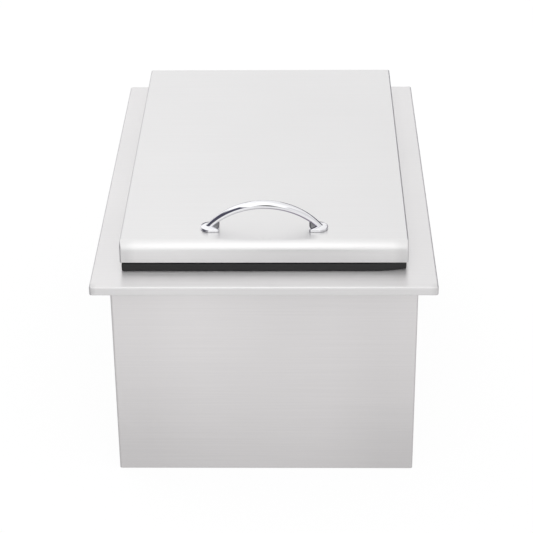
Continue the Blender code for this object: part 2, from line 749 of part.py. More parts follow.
def lid_handle():
    """One casting: the bar joined to its feet and webs, with a blind hole in each foot for its screw."""
    half_span = HANDLE_SPACING / 2
    arch_height = HANDLE_RISE - HANDLE_END_RISE
    radius = (half_span**2 + arch_height**2) / (2 * arch_height)
    centre = Vector((0, HANDLE_Y, LID_TOP + HANDLE_RISE - radius))
    joined = []
    for side, x in sides(HANDLE_SPACING):
        outward = math.copysign(1, x)
        joined.append(handle_foot(f"foot_{side}", x, outward))
        joined.append(foot_web(f"web_{side}", x, outward, centre, radius))
    starts = [Vector((x, HANDLE_Y, LID_TOP + FIT - OVERRUN)) for _, x in sides(HANDLE_SPACING)]
    reach = OVERRUN + HANDLE_SCREW_REACH + FIT
    holes = rods("foot_screw_holes", starts, HANDLE_SCREW_RADIUS + FIT, UP, reach)
    handle = combined(arched_bar(centre, radius), "UNION", joined)
    return finish(combined(handle, "DIFFERENCE", [holes]), CHROME)


def handle_fastening():
    """The plate inside the lid and the two screws that pull the handle's feet down on the skin."""
    half_width = HANDLE_SPACING / 2 + HANDLE_PLATE_WIDTH / 2
    plate = block(
        "handle_plate",
        (-half_width, HANDLE_Y - HANDLE_PLATE_WIDTH / 2, HANDLE_PLATE_BOTTOM),
        (half_width, HANDLE_Y + HANDLE_PLATE_WIDTH / 2, LID_UNDERSIDE),
    )
    seats = {
        side: Vector((x, HANDLE_Y, HANDLE_PLATE_BOTTOM - FIT)) for side, x in sides(HANDLE_SPACING)
    }
    starts = [seat + DOWN * OVERRUN for seat in seats.values()]
    through = HANDLE_PLATE_SHEET + 2 * OVERRUN + FIT
    holes = rods("handle_plate_holes", starts, HANDLE_SCREW_RADIUS + FIT, UP, through)
    pieces = [finish(combined(plate, "DIFFERENCE", [holes]), SATIN)]
    for side, seat in seats.items():
        length = LID_TOP + FIT + HANDLE_SCREW_REACH - seat.z
        screw = pan_head_screw(f"handle_screw_{side}", seat, UP, HANDLE_SCREW_RADIUS, length)
        pieces.append(finish(screw, SATIN))
    return pieces


def leaf_outline(reach, lip_top):
    """A leaf's section round its knuckle: (along the leaf, across it) from the pin, with a lip at its end."""
    inner = -LEAF_FACE
    foot = -KNUCKLE_RADIUS
    start = math.asin(inner / KNUCKLE_RADIUS)
    end = 3 * math.pi / 2
    points = [(reach, foot), (reach, max(lip_top, inner))]
    if lip_top > inner:
        points += [(reach - LEAF_SHEET, lip_top), (reach - LEAF_SHEET, inner)]
    for step in range(KNUCKLE_STEPS + 1):
        angle = start + (end - start) * step / KNUCKLE_STEPS
        points.append((KNUCKLE_RADIUS * math.cos(angle), KNUCKLE_RADIUS * math.sin(angle)))
    return points


def hinge_leaf(name, hinge_x, reach, lip_top, upright, odd_notches):
    """A leaf, upright or flat on the flange, that is notched at every other knuckle for the leaf it meets."""

    def at(x, along, across):
        if upright:
            return Vector((x, HINGE_Y + across, HINGE_Z + along))
        return Vector((x, HINGE_Y + along, HINGE_Z + across))

    left = hinge_x - LEAF_WIDTH / 2
    outline = leaf_outline(reach, lip_top)
    rings = [[at(x, along, across) for along, across in outline] for x in (left, left + LEAF_WIDTH)]
    leaf = skin(name, rings, first_cap=True, last_cap=True)
    pitch = LEAF_WIDTH / KNUCKLES
    outside = KNUCKLE_RADIUS + OVERRUN
    helpers = []
    for index in range(int(odd_notches), KNUCKLES, 2):
        start = left + index * pitch - (FIT / 2 if index else OVERRUN)
        end = left + (index + 1) * pitch + (FIT / 2 if index < KNUCKLES - 1 else OVERRUN)
        corners = (at(start, -outside, -outside), at(end, KNUCKLE_RADIUS + KNUCKLE_GAP, outside))
        helpers.append(block(f"{name}_notch_{index}", *corners))
    pin_start = Vector((left - OVERRUN, HINGE_Y, HINGE_Z))
    pin_length = LEAF_WIDTH + 2 * OVERRUN
    helpers.append(rods(f"{name}_bore", [pin_start], PIN_RADIUS + FIT, RIGHT, pin_length))
    return combined(leaf, "DIFFERENCE", helpers)


def fixed_hinge_parts():
    """Fixed leaves, pins, and the screws and nuts that hold the leaves to the flange."""
    lip_top = (LEAF_FACE + LEAF_REACH * math.cos(STOP_ANGLE)) / math.sin(STOP_ANGLE)
    leaf_top = FLANGE_TOP + FIT + LEAF_SHEET
    for side, hinge_x in sides(HINGE_SPACING):
        name = f"hinge_fixed_leaf_{side}"
        leaf = hinge_leaf(name, hinge_x, LEAF_REACH, lip_top, upright=False, odd_notches=True)
        starts = [
            Vector((hinge_x + x, FIXED_SCREW_Y, leaf_top + OVERRUN)) for _, x in sides(SCREW_SPACING)
        ]
        length = LEAF_SHEET + 2 * OVERRUN
        holes = rods(f"{name}_holes", starts, SCREW_RADIUS + FIT, DOWN, length)
        finish(combined(leaf, "DIFFERENCE", [holes]), SATIN)
        half_pin = LEAF_WIDTH / 2 + FIT
        pin_profile = (
            (PIN_HEAD_RADIUS, -half_pin - PIN_HEAD),
            (PIN_HEAD_RADIUS, -half_pin),
            (PIN_RADIUS, -half_pin),
            (PIN_RADIUS, half_pin),
            (PIN_HEAD_RADIUS, half_pin),
            (PIN_HEAD_RADIUS, half_pin + PIN_HEAD),
        )
        middle = Vector((hinge_x, HINGE_Y, HINGE_Z))
        pin = turned(f"hinge_pin_{side}", pin_profile, middle, RIGHT, SMALL_STEPS)
        finish(pin, SATIN)
    nut_top = FLANGE_TOP - FLANGE_SHEET - FIT
    length = leaf_top + FIT - nut_top + NUT_HEIGHT + SCREW_TIP
    for word, x in hinge_screw_xs():
        seat = Vector((x, FIXED_SCREW_Y, leaf_top + FIT))
        screw = pan_head_screw(f"hinge_flange_screw_{word}", seat, DOWN, SCREW_RADIUS, length)
        top_centre = Vector((x, FIXED_SCREW_Y, nut_top))
        name = f"hinge_flange_nut_{word}"
        nut = hexagonal_nut(name, NUT_FLATS, SCREW_RADIUS + FIT, NUT_HEIGHT, top_centre)
        finish(screw, SATIN)
        finish(nut, SATIN)


def moving_hinge_parts():
    """Moving leaves, the tapped plates inside the lid's rear wall, and the screws between them."""
    reach = LID_TOP - LEAF_TOP_MARGIN - HINGE_Z
    leaf_rear = HINGE_Y - LEAF_FACE
    pieces = []
    for side, hinge_x in sides(HINGE_SPACING):
        screw_xs = [hinge_x + x for _, x in sides(SCREW_SPACING)]
        name = f"hinge_moving_leaf_{side}"
        leaf = hinge_leaf(name, hinge_x, reach, -LEAF_FACE, upright=True, odd_notches=False)
        starts = [Vector((x, leaf_rear + OVERRUN, MOVING_SCREW_Z)) for x in screw_xs]
        length = LEAF_SHEET + 2 * OVERRUN
        holes = rods(f"{name}_holes", starts, SCREW_RADIUS + FIT, -REARWARD, length)
        pieces.append(finish(combined(leaf, "DIFFERENCE", [holes]), SATIN))
        plate = block(
            f"hinge_backing_{side}",
            (hinge_x - LEAF_WIDTH / 2, BACKING_FACE - BACKING_SHEET, BACKING_BOTTOM),
            (hinge_x + LEAF_WIDTH / 2, BACKING_FACE, BACKING_BOTTOM + BACKING_HEIGHT),
        )
        starts = [Vector((x, BACKING_FACE + OVERRUN, MOVING_SCREW_Z)) for x in screw_xs]
        length = BACKING_SHEET + 2 * OVERRUN
        holes = rods(f"backing_{side}_holes", starts, SCREW_RADIUS + FIT, -REARWARD, length)
        pieces.append(finish(combined(plate, "DIFFERENCE", [holes]), SATIN))
    seat_y = leaf_rear + FIT
    length = seat_y - BACKING_FACE + BACKING_SHEET + SCREW_TIP
    for word, x in hinge_screw_xs():
        seat = Vector((x, seat_y, MOVING_SCREW_Z))
        screw = pan_head_screw(f"hinge_lid_screw_{word}", seat, -REARWARD, SCREW_RADIUS, length)
        pieces.append(finish(screw, SATIN))
    return pieces


def carried_by(name, origin, pieces):
    """An empty on a joint's axis that carries the pieces which move about or along it."""
    carrier = bpy.data.objects.new(name, None)
    carrier.location = origin
    bpy.context.scene.collection.objects.link(carrier)
    bpy.context.view_layer.update()
    for piece in pieces:
        piece.parent = carrier
        piece.matrix_parent_inverse = carrier.matrix_world.inverted()


def main():
    clear_scene()
    top_flange()
    outer_shell()
    inner_liner()
    wall_insulation()
    drain_body()
    drain_grate()
    drain_fastening()
    fixed_hinge_parts()

    stopper = drain_stopper()
    stopper.location = (0, DRAIN_Y, DRAIN_TOP)

    lid_pieces = [lid_skin(), lid_pan(), lid_insulation(), lid_gasket(), lid_handle()]
    lid_pieces += handle_fastening()
    lid_pieces += moving_hinge_parts()
    carried_by("lid_axis", (0, HINGE_Y, HINGE_Z), lid_pieces)


main()
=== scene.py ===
import math

import bmesh
import bpy
import numpy as np
from mathutils import Matrix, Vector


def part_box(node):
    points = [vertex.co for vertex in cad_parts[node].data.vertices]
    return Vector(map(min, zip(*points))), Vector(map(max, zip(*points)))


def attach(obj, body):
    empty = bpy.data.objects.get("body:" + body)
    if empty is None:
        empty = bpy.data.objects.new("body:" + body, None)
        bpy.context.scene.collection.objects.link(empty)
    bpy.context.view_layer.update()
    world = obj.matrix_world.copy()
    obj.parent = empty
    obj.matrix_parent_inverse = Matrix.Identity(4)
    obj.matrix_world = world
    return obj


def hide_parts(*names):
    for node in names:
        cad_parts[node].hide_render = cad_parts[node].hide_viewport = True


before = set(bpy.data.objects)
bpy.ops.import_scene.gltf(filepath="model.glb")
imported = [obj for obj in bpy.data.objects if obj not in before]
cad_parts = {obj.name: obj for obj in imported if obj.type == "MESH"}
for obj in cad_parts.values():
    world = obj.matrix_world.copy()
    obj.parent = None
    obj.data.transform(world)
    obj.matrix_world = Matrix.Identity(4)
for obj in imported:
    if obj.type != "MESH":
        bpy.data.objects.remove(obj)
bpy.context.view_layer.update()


# Top flange: one brushed stainless sheet that hangs the bin in a counter. Its outer edge is folded down and
# hemmed, its mouth is turned down to meet the tub, and its corners are welded and dressed. Both ends of
# the front are painted a shade darker: painted shade where the light falls off at the ends.
FLANGE_SHEET = 0.0012
FLANGE_CORNER = 0.003
FLANGE_BEND = 0.0022
FLANGE_SHADED_REACH = 0.009
HEM_WIDTH = 0.010
HEM_BEND = 0.0016
PLATE_INSET = 0.0232
MOUTH_CORNER = 0.022
MOUTH_BEND = 0.004
MOUTH_LAND = 0.005
MOUTH_DROP = 0.010
LINER_SHEET = 0.0012
BURR = 0.00025
SHARPEST = 0.0003
CORNER_ARC = 10
SHARP_ANGLE = math.radians(35)
CUT_ANGLE = math.radians(50)
HAIRS_PER_METRE = (70, 5200, 1)
STREAKS_PER_METRE = (5, 420, 1)
CLOUDS_PER_METRE = (5, 5, 5)
HAIR_DEPTH = 0.00001
CLOUD_DEPTH = 0.0004
STREAK_SHARE = 0.6
TONE_RANGE = (0.35, 0.65)
GLOSS_RANGE = (0.7, 1.3)
GLOSS_SPREAD = 0.04
SHADE_FULL = 0.4
SHADE_START = 0.004
SHADE_END = 0.012
SHADE_TONE = 0.5
ENDS_PAINTED_SHADE = 0.22
STEEL = (0.763, 0.758, 0.759)
FLANGE_STEEL = (0.762, 0.753, 0.755)


def softened(corners, steps=6):
    """Points of a line through (x, y, radius) corners. A radius r puts an arc there whose centre lies
    r / sin(half the angle) along the bisector, and a radius of 0 leaves the corner sharp."""
    corners = np.array(corners, float)
    points = []
    for before, corner, after in zip(np.roll(corners, 1, 0), corners, np.roll(corners, -1, 0)):
        place, radius = corner[:2], corner[2]
        if not radius:
            points.append(place[None])
            continue
        back = (before[:2] - place) / np.linalg.norm(before[:2] - place)
        onward = (after[:2] - place) / np.linalg.norm(after[:2] - place)
        half = np.arccos(np.clip(back @ onward, -1, 1)) / 2
        bisector = (back + onward) / np.linalg.norm(back + onward)
        centre = place + bisector * radius / np.sin(half)
        start = place + back * radius / np.tan(half) - centre
        end = place + onward * radius / np.tan(half) - centre
        sweep = np.pi - 2 * half
        turn = np.linspace(0, sweep, steps + 1)[:, None]
        points.append(centre + (start * np.sin(sweep - turn) + end * np.sin(turn)) / np.sin(sweep))
    return np.vstack(points)


def plan_rings(half_width, front, rear, corner, height):
    """Rounded rectangles, one for each entry of the arrays, anticlockwise from above: every corner is
    centre + radius * (cos a, sin a) over a quarter turn, and straight sides join them."""
    half_width, front, rear, corner, height = np.broadcast_arrays(half_width, front, rear, corner, height)
    angle = (np.arange(4)[:, None] + np.linspace(0, 1, CORNER_ARC + 1)).ravel() * np.pi / 2
    side = half_width - corner
    centre_x = np.repeat(np.stack([side, -side, -side, side], 1), CORNER_ARC + 1, axis=1)
    low, high = front + corner, rear - corner
    centre_y = np.repeat(np.stack([high, high, low, low], 1), CORNER_ARC + 1, axis=1)
    x = centre_x + corner[:, None] * np.cos(angle)
    y = centre_y + corner[:, None] * np.sin(angle)
    return np.stack([x, y, np.broadcast_to(height[:, None], x.shape)], -1)


def carried(profile, plan):
    """Rings of a profile of (inset, height) points carried round a (half_width, front, rear, corner) plan.
    A ring that is set in by i has a corner smaller by i."""
    inset, height = np.array(profile, float).T
    half_width, front, rear, corner = plan
    corner = np.maximum(corner - inset, SHARPEST)
    return plan_rings(half_width - inset, front + inset, rear - inset, corner, height)


def lay_grain(mesh, side_grain="folded"):
    """UVs in metres whose U runs along the rubbing marks: along x on every face but the sides. There it runs
    down z where the sheet is folded over its edge, or along y where the sheet is wrapped round."""
    corners = np.zeros(len(mesh.loops), np.int32)
    mesh.loops.foreach_get("vertex_index", corners)
    places = np.zeros(len(mesh.vertices) * 3)
    mesh.vertices.foreach_get("co", places)
    x, y, z = places.reshape(-1, 3)[corners].T
    normals = np.zeros(len(mesh.polygons) * 3)
    mesh.polygons.foreach_get("normal", normals)
    counts = np.zeros(len(mesh.polygons), np.int32)
    mesh.polygons.foreach_get("loop_total", counts)
    facing = np.repeat(np.abs(normals.reshape(-1, 3)).argmax(1), counts)
    folded = side_grain == "folded"
    along = np.where(facing == 0, z if folded else y, x)
    across = np.select([facing == 0, facing == 1], [y if folded else z, z], y)
    layer = mesh.uv_layers.new(name="grain")
    layer.data.foreach_set("uv", np.stack([along, across], 1).ravel())


def face_outwards(mesh):
    """Turn the faces of closed bodies to look outwards."""
    builder = bmesh.new()
    builder.from_mesh(mesh)
    bmesh.ops.recalc_face_normals(builder, faces=builder.faces)
    builder.to_mesh(mesh)
    builder.free()


def grid_piece(name, grid, around=True, along=False, first=False, last=False, closed=False):
    """An object over a grid of points[row, column]. Quads join neighbours, around closes the columns and
    along the rows, first and last fill the end rings, and a closed body is turned to face outwards."""
    rows, columns = grid.shape[:2]
    index = np.arange(rows * columns).reshape(rows, columns)
    ends = ([index[0, ::-1].tolist()] if first else []) + ([index[-1].tolist()] if last else [])
    if around:
        index = np.hstack([index, index[:, :1]])
    if along:
        index = np.vstack([index, index[:1]])
    quads = np.stack([index[:-1, :-1], index[:-1, 1:], index[1:, 1:], index[1:, :-1]], -1)
    mesh = bpy.data.meshes.new(name)
    mesh.from_pydata(grid.reshape(-1, 3).tolist(), [], quads.reshape(-1, 4).tolist() + ends)
    if closed:
        face_outwards(mesh)
    mesh.shade_smooth()
    mesh.set_sharp_from_angle(angle=SHARP_ANGLE)
    thing = bpy.data.objects.new(name, mesh)
    bpy.context.scene.collection.objects.link(thing)
    return thing


def even_shading(thing):
    """Let the large flats set the normals, so that only the bends look round."""
    weighted = thing.modifiers.new("even shading", "WEIGHTED_NORMAL")
    weighted.keep_sharp = True


def thickened(thing, sheet):
    """Give a sheet its thickness towards its hidden side, and break its cut edges."""
    solid = thing.modifiers.new("sheet", "SOLIDIFY")
    solid.thickness = sheet
    solid.offset = -1
    solid.use_even_offset = True
    solid.use_quality_normals = True
    edges = thing.modifiers.new("broken edges", "BEVEL")
    edges.width = BURR
    edges.segments = 2
    edges.limit_method = "ANGLE"
    edges.angle_limit = CUT_ANGLE
    even_shading(thing)


def new_material(name):
    """A material with its nodes, its links and its main shader."""
    material = bpy.data.materials.new(name)
    material.use_nodes = True
    nodes = material.node_tree.nodes
    return material, nodes, material.node_tree.links, nodes["Principled BSDF"]


def coordinates(nodes, links, output):
    """The x, y and z of one kind of texture coordinates."""
    split = nodes.new("ShaderNodeSeparateXYZ")
    links.new(nodes.new("ShaderNodeTexCoord").outputs[output], split.inputs[0])
    return split.outputs


def noise_over(nodes, links, source, scale, detail=2.0, roughness=0.5):
    """Noise whose grains are 1 / scale metres long on each axis of the source."""
    stretch = nodes.new("ShaderNodeMapping")
    stretch.inputs["Scale"].default_value = scale
    texture = nodes.new("ShaderNodeTexNoise")
    texture.inputs["Scale"].default_value = 1.0
    texture.inputs["Detail"].default_value = detail
    texture.inputs["Roughness"].default_value = roughness
    links.new(source, stretch.inputs["Vector"])
    links.new(stretch.outputs["Vector"], texture.inputs["Vector"])
    return texture.outputs[0]


def ranged(nodes, links, value, low, high, start=0.3, end=0.7):
    """Low where the value is at its start, high at its end, straight between them and held beyond them."""
    spread = nodes.new("ShaderNodeMapRange")
    spread.inputs["From Min"].default_value = start
    spread.inputs["From Max"].default_value = end
    spread.inputs["To Min"].default_value = low
    spread.inputs["To Max"].default_value = high
    links.new(value, spread.inputs["Value"])
    return spread.outputs["Result"]


def worked(nodes, links, operation, first, second=0):
    """One operation on two values, such as their sum, product or larger one."""
    step = nodes.new("ShaderNodeMath")
    step.operation = operation
    for socket, value in zip(step.inputs, (first, second)):
        if isinstance(value, (int, float)):
            socket.default_value = value
        else:
            links.new(value, socket)
    return step.outputs[0]


def every(nodes, links, *shares):
    """The product of several values."""
    product = shares[0]
    for share in shares[1:]:
        product = worked(nodes, links, "MULTIPLY", product, share)
    return product


def toned(colour, share):
    """Each channel of the colour times the share, up to 1."""
    return tuple(min(1.0, channel * share) for channel in colour)


def tinted(nodes, links, value, dark, light):
    """The colour between dark and light that the value from 0 to 1 picks."""
    ramp = nodes.new("ShaderNodeValToRGB")
    ramp.color_ramp.elements[0].color = (*dark, 1)
    ramp.color_ramp.elements[1].color = (*light, 1)
    links.new(value, ramp.inputs["Fac"])
    return ramp.outputs["Color"]


def blended(nodes, links, share, first, second):
    """The first colour times one minus the share, plus the second times the share."""
    mix = nodes.new("ShaderNodeMix")
    mix.data_type = "RGBA"
    links.new(share, mix.inputs[0])
    for socket, colour in ((mix.inputs[6], first), (mix.inputs[7], second)):
        if isinstance(colour, tuple):
            socket.default_value = (*colour, 1)
        else:
            links.new(colour, socket)
    return mix.outputs[2]


def bumped(nodes, links, value, distance, strength=0.5, under=None):
    """A normal that follows the value as a height in metres."""
    bump = nodes.new("ShaderNodeBump")
    bump.inputs["Strength"].default_value = strength
    bump.inputs["Distance"].default_value = distance
    links.new(value, bump.inputs["Height"])
    if under is not None:
        links.new(under, bump.inputs["Normal"])
    return bump.outputs["Normal"]


def front_ends(nodes, links, half_width, front, reach, share):
    """The share of painted shade at both ends of the front: all of it in the outer part of the reach, none
    beyond the reach, and fading out a few millimetres behind the front."""
    spot = coordinates(nodes, links, "Object")
    outward = worked(nodes, links, "ABSOLUTE", spot["X"])
    return every(
        nodes, links,
        ranged(nodes, links, outward, 0, share, half_width - reach, half_width - reach * SHADE_FULL),
        ranged(nodes, links, spot["Y"], 1, 0, front + SHADE_START, front + SHADE_END),
    )


def brushed_steel(name, colour=STEEL, roughness=0.35, anisotropy=0.9, contrast=0.03, metallic=1.0,
                  shaded_ends=None):
    """Stainless sheet rubbed along U: hair-thin scratches and wider streaks in colour, gloss and height,
    under a faint cloudiness. The gloss is drawn out across the marks, as rubbed steel shows it. The argument
    for the ends gives the half width, front, reach and share of painted shade at the two ends of the front."""
    material, nodes, links, shader = new_material(name)
    grain = nodes.new("ShaderNodeUVMap")
    grain.uv_map = "grain"
    place = nodes.new("ShaderNodeTexCoord").outputs["Object"]
    hairs = noise_over(nodes, links, grain.outputs["UV"], HAIRS_PER_METRE, detail=3)
    streaks = noise_over(nodes, links, grain.outputs["UV"], STREAKS_PER_METRE, detail=4, roughness=0.65)
    clouds = noise_over(nodes, links, place, CLOUDS_PER_METRE, detail=2)
    streak_part = worked(nodes, links, "MULTIPLY", streaks, STREAK_SHARE)
    cloud_part = worked(nodes, links, "MULTIPLY", clouds, 1 - STREAK_SHARE)
    tone = ranged(nodes, links, worked(nodes, links, "ADD", streak_part, cloud_part), 0, 1, *TONE_RANGE)
    shade = tinted(nodes, links, tone, toned(colour, 1 - contrast), toned(colour, 1 + contrast))
    # Painted shade at both ends of the front, where the light falls off.
    if shaded_ends is not None:
        shade = blended(nodes, links, front_ends(nodes, links, *shaded_ends), shade, toned(colour, SHADE_TONE))
    marks = worked(nodes, links, "ADD", hairs, streaks)
    gloss = ranged(nodes, links, marks, roughness - GLOSS_SPREAD, roughness + GLOSS_SPREAD, *GLOSS_RANGE)
    wave = bumped(nodes, links, clouds, CLOUD_DEPTH)
    scratched = bumped(nodes, links, hairs, HAIR_DEPTH, under=wave)
    tangent = nodes.new("ShaderNodeTangent")
    tangent.direction_type = "UV_MAP"
    tangent.uv_map = "grain"
    links.new(shade, shader.inputs["Base Color"])
    links.new(gloss, shader.inputs["Roughness"])
    links.new(scratched, shader.inputs["Normal"])
    links.new(tangent.outputs["Tangent"], shader.inputs["Tangent"])
    shader.inputs["Metallic"].default_value = metallic
    shader.inputs["Anisotropic"].default_value = anisotropy
    shader.inputs["Anisotropic Rotation"].default_value = 0.25
    return material


low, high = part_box("top_flange")
liner_low, liner_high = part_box("inner_liner")
flange_plan = (high.x, low.y, high.y, FLANGE_CORNER)
mouth_front, mouth_rear = liner_low.y + LINER_SHEET, liner_high.y - LINER_SHEET
mouth_plan = (liner_high.x - LINER_SHEET, mouth_front, mouth_rear, MOUTH_CORNER)
edge = softened([
    (HEM_WIDTH, low.z, 0),
    (0, low.z, HEM_BEND),
    (0, high.z, FLANGE_BEND),
    (PLATE_INSET, high.z, 0),
])
mouth = softened([
    (-MOUTH_BEND - MOUTH_LAND, high.z, 0),
    (0, high.z, MOUTH_BEND),
    (0, high.z - MOUTH_DROP, 0),
])
flange = grid_piece("flange_sheet", np.vstack([carried(edge, flange_plan), carried(mouth, mouth_plan)]))
lay_grain(flange.data)
thickened(flange, FLANGE_SHEET)
# Painted shade at both ends of the front.
shaded_ends = (high.x, low.y, FLANGE_SHADED_REACH, ENDS_PAINTED_SHADE)
flange.data.materials.append(
    brushed_steel("flange_steel", FLANGE_STEEL, roughness=0.40, metallic=0.90, shaded_ends=shaded_ends)
)
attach(flange, "bin")
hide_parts("top_flange")


# Outer shell: the plain box under the flange, a wrapped stainless sheet with small bends, with painted
# shade towards both ends of its front. Its bottom is pressed up round the drain's nut, so that the bin
# stands flat.
SHELL_SHEET = 0.0012
SHELL_CORNER = 0.0025
SHELL_BEND = 0.002
SHELL_LIP = 0.010
SHELL_SHADED_REACH = 0.11
SHELL_PAINTED_SHADE = 0.08
RECESS_HALF = 0.042
RECESS_DEPTH = 0.020
RECESS_CORNER = 0.008
DRAIN_BORE = 0.0228
SHELL_STEEL = (0.756, 0.739, 0.742)


def round_rings(radii, heights, middle):
    """Circles (r cos a, r sin a, h) round a vertical axis, with as many points as a plan ring has and in the
    same order."""
    count = 4 * (CORNER_ARC + 1)
    angle = 2 * np.pi * (np.arange(count) + 0.5) / count
    radii, heights = np.broadcast_arrays(np.array(radii, float), np.array(heights, float))
    x = middle[0] + radii[:, None] * np.cos(angle)
    y = middle[1] + radii[:, None] * np.sin(angle)
    return np.stack([x, y, np.broadcast_to(heights[:, None], x.shape)], -1)


low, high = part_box("outer_shell")
drain_low, drain_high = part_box("drain_body")
drain_x, drain_y = (drain_low.x + drain_high.x) / 2, (drain_low.y + drain_high.y) / 2
drain_axis = (drain_x, drain_y)
recess_plan = (RECESS_HALF, drain_y - RECESS_HALF, drain_y + RECESS_HALF, RECESS_CORNER)
recess = softened([
    (RECESS_CORNER, RECESS_DEPTH, 0),
    (0, RECESS_DEPTH, SHELL_BEND),
    (0, 0, SHELL_BEND),
    (-2 * SHELL_BEND, 0, 0),
])
wall = softened([
    (SHELL_LIP, low.z, 0),
    (0, low.z, SHELL_BEND),
    (0, high.z, SHELL_BEND),
    (SHELL_LIP, high.z, 0),
])
shell = grid_piece("shell_box", np.vstack([
    round_rings([DRAIN_BORE], [RECESS_DEPTH], drain_axis),
    carried(recess, recess_plan),
    carried(wall, (high.x, low.y, high.y, SHELL_CORNER)),
]))
lay_grain(shell.data, "wrapped")
thickened(shell, SHELL_SHEET)
# Painted shade towards both ends of the front.
shaded_ends = (high.x, low.y, SHELL_SHADED_REACH, SHELL_PAINTED_SHADE)
shell.data.materials.append(brushed_steel("shell_steel", SHELL_STEEL, roughness=0.33, shaded_ends=shaded_ends))
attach(shell, "bin")
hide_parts("outer_shell")


# Inner tub: the ice's liner, with coved corners that wipe clean and a floor that falls to a round seat for
# the drain. It is satin inside, and welded under the turned down mouth of the flange.
COVE = 0.020
COVE_STEPS = 12
FLOOR_EDGE = 0.044
FLOOR_MIDDLE = 0.040
FLOOR_STEPS = 8
SEAT_LAND = 0.0385
SEAT_RIM = 0.0345
SEAT_RIM_BEND = 0.0015
SEAT_EDGE = 0.031
SEAT_EDGE_BEND = 0.0012
SEAT_DEPTH = 0.0045
TUB_STEEL = (0.70, 0.70, 0.69)

turn = np.linspace(0, np.pi / 2, COVE_STEPS + 1)
cove = np.stack([COVE * (1 - np.cos(turn)), FLOOR_EDGE + COVE * (1 - np.sin(turn))], 1)
upper = carried(np.vstack([[(0, liner_high.z)], cove]), mouth_plan)
seat = softened([
    (SEAT_LAND, FLOOR_MIDDLE, 0),
    (SEAT_RIM, FLOOR_MIDDLE, SEAT_RIM_BEND),
    (SEAT_EDGE, FLOOR_MIDDLE - SEAT_DEPTH, SEAT_EDGE_BEND),
    (DRAIN_BORE, FLOOR_MIDDLE - SEAT_DEPTH, 0),
])
lower = round_rings(seat[:, 0], seat[:, 1], drain_axis)
inward = np.linspace(0, 1, FLOOR_STEPS + 1)[1:-1, None, None]
fall = upper[-1] + (lower[0] - upper[-1]) * inward
tub = grid_piece("tub", np.vstack([upper, fall, lower]))
lay_grain(tub.data, "wrapped")
thickened(tub, LINER_SHEET)
tub.data.materials.append(brushed_steel("tub_steel", TUB_STEEL, roughness=0.36, anisotropy=0.5))
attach(tub, "bin")
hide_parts("inner_liner")


# Insulation: rigid cream foam poured between shell and tub, and inside the lid. It is all hidden by sheet,
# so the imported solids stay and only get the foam's open, speckled surface.
CELLS_PER_METRE = (900, 900, 900)
CELL_DEPTH = 0.0004
CELL_TONE = 0.86
FOAM = (0.80, 0.72, 0.48)
FOAM_ROUGHNESS = 0.92


def poured_foam(name):
    """Cream foam whose open cells, a fine noise, show in its colour and its height."""
    material, nodes, links, shader = new_material(name)
    place = nodes.new("ShaderNodeTexCoord").outputs["Object"]
    cells = noise_over(nodes, links, place, CELLS_PER_METRE, detail=3)
    shade = tinted(nodes, links, ranged(nodes, links, cells, 0, 1), toned(FOAM, CELL_TONE), FOAM)
    links.new(shade, shader.inputs["Base Color"])
    links.new(bumped(nodes, links, cells, CELL_DEPTH, strength=0.6), shader.inputs["Normal"])
    shader.inputs["Roughness"].default_value = FOAM_ROUGHNESS
    return material


def refinish(material, *nodes):
    """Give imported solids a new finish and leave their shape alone."""
    for node in nodes:
        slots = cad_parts[node].data.materials
        slots.clear()
        slots.append(material)


refinish(poured_foam("poured_foam"), "wall_insulation", "lid_insulation")


# Drain: a satin stainless fitting dropped through the tub's seat, with a pierced grate in it. A flange and a
# tapered plug seat show from inside, and the threaded barrel comes out below, where a washer and a brass nut
# clamp it to the shell.
DRAIN_FLANGE = 0.030
DRAIN_FLANGE_SHEET = 0.002
DRAIN_FLANGE_FOOT = 0.0006
DRAIN_FLANGE_EDGE = 0.0009
BARREL = 0.0225
BARREL_BOTTOM = 0.0105
BARREL_CHAMFER = 0.0007
SPIGOT = 0.0145
SPIGOT_BORE = 0.011
SPIGOT_EDGE = 0.0008
PLUG_TOP = 0.0212
PLUG_TOP_EDGE = 0.0012
PLUG_BOTTOM = 0.0190
PLUG_DEPTH = 0.0090
LEDGE = 0.0018
LEDGE_BEND = 0.0004
LEDGE_EDGE = 0.0006
BOWL = 0.016
BOWL_DEPTH = 0.0065
BOWL_BEND = 0.002
BOWL_CONE = 0.004
BORE_EDGE = 0.001
BORE_START = 0.0015
THREAD_PITCH = 0.0018
THREAD_DEPTH = 0.0005
THREAD_LEAD_IN = 0.001
THREAD_RUN_OUT = 0.0015
THREAD_RINGS = 90
NUT_FLATS = 0.054
NUT_CHAMFER = 0.0012
NUT_CORNER_SHARE = 1.09
NUT_RINGS = 9
MARKS_PER_METRE = (800, 800, 1600)
TONES_PER_METRE = (40, 40, 40)
DRAIN_STEEL = (0.70, 0.70, 0.70)
NUT_BRASS = (0.72, 0.56, 0.27)


def turned_grid(profile, middle, columns=96, thread=None):
    """A surface of revolution: each profile point (r, h) gives the ring (r cos a, r sin a, h) round a
    vertical axis. A thread (low, high, pitch, depth, outside radius) cuts a helix there whose depth follows
    a wave of h / pitch - a / 2 pi."""
    radius, height = np.array(profile, float).T
    angle = np.linspace(0, 2 * np.pi, columns, endpoint=False)
    radius = np.repeat(radius[:, None], columns, axis=1)
    height = np.repeat(height[:, None], columns, axis=1)
    if thread:
        start, end, pitch, depth, outside = thread
        cut = (height > start) & (height < end) & (np.abs(radius - outside) < depth)
        wave = np.abs(2 * ((height / pitch - angle / (2 * np.pi)) % 1) - 1)
        radius = np.where(cut, radius - depth * wave, radius)
    return np.stack([middle[0] + radius * np.cos(angle), middle[1] + radius * np.sin(angle), height], -1)


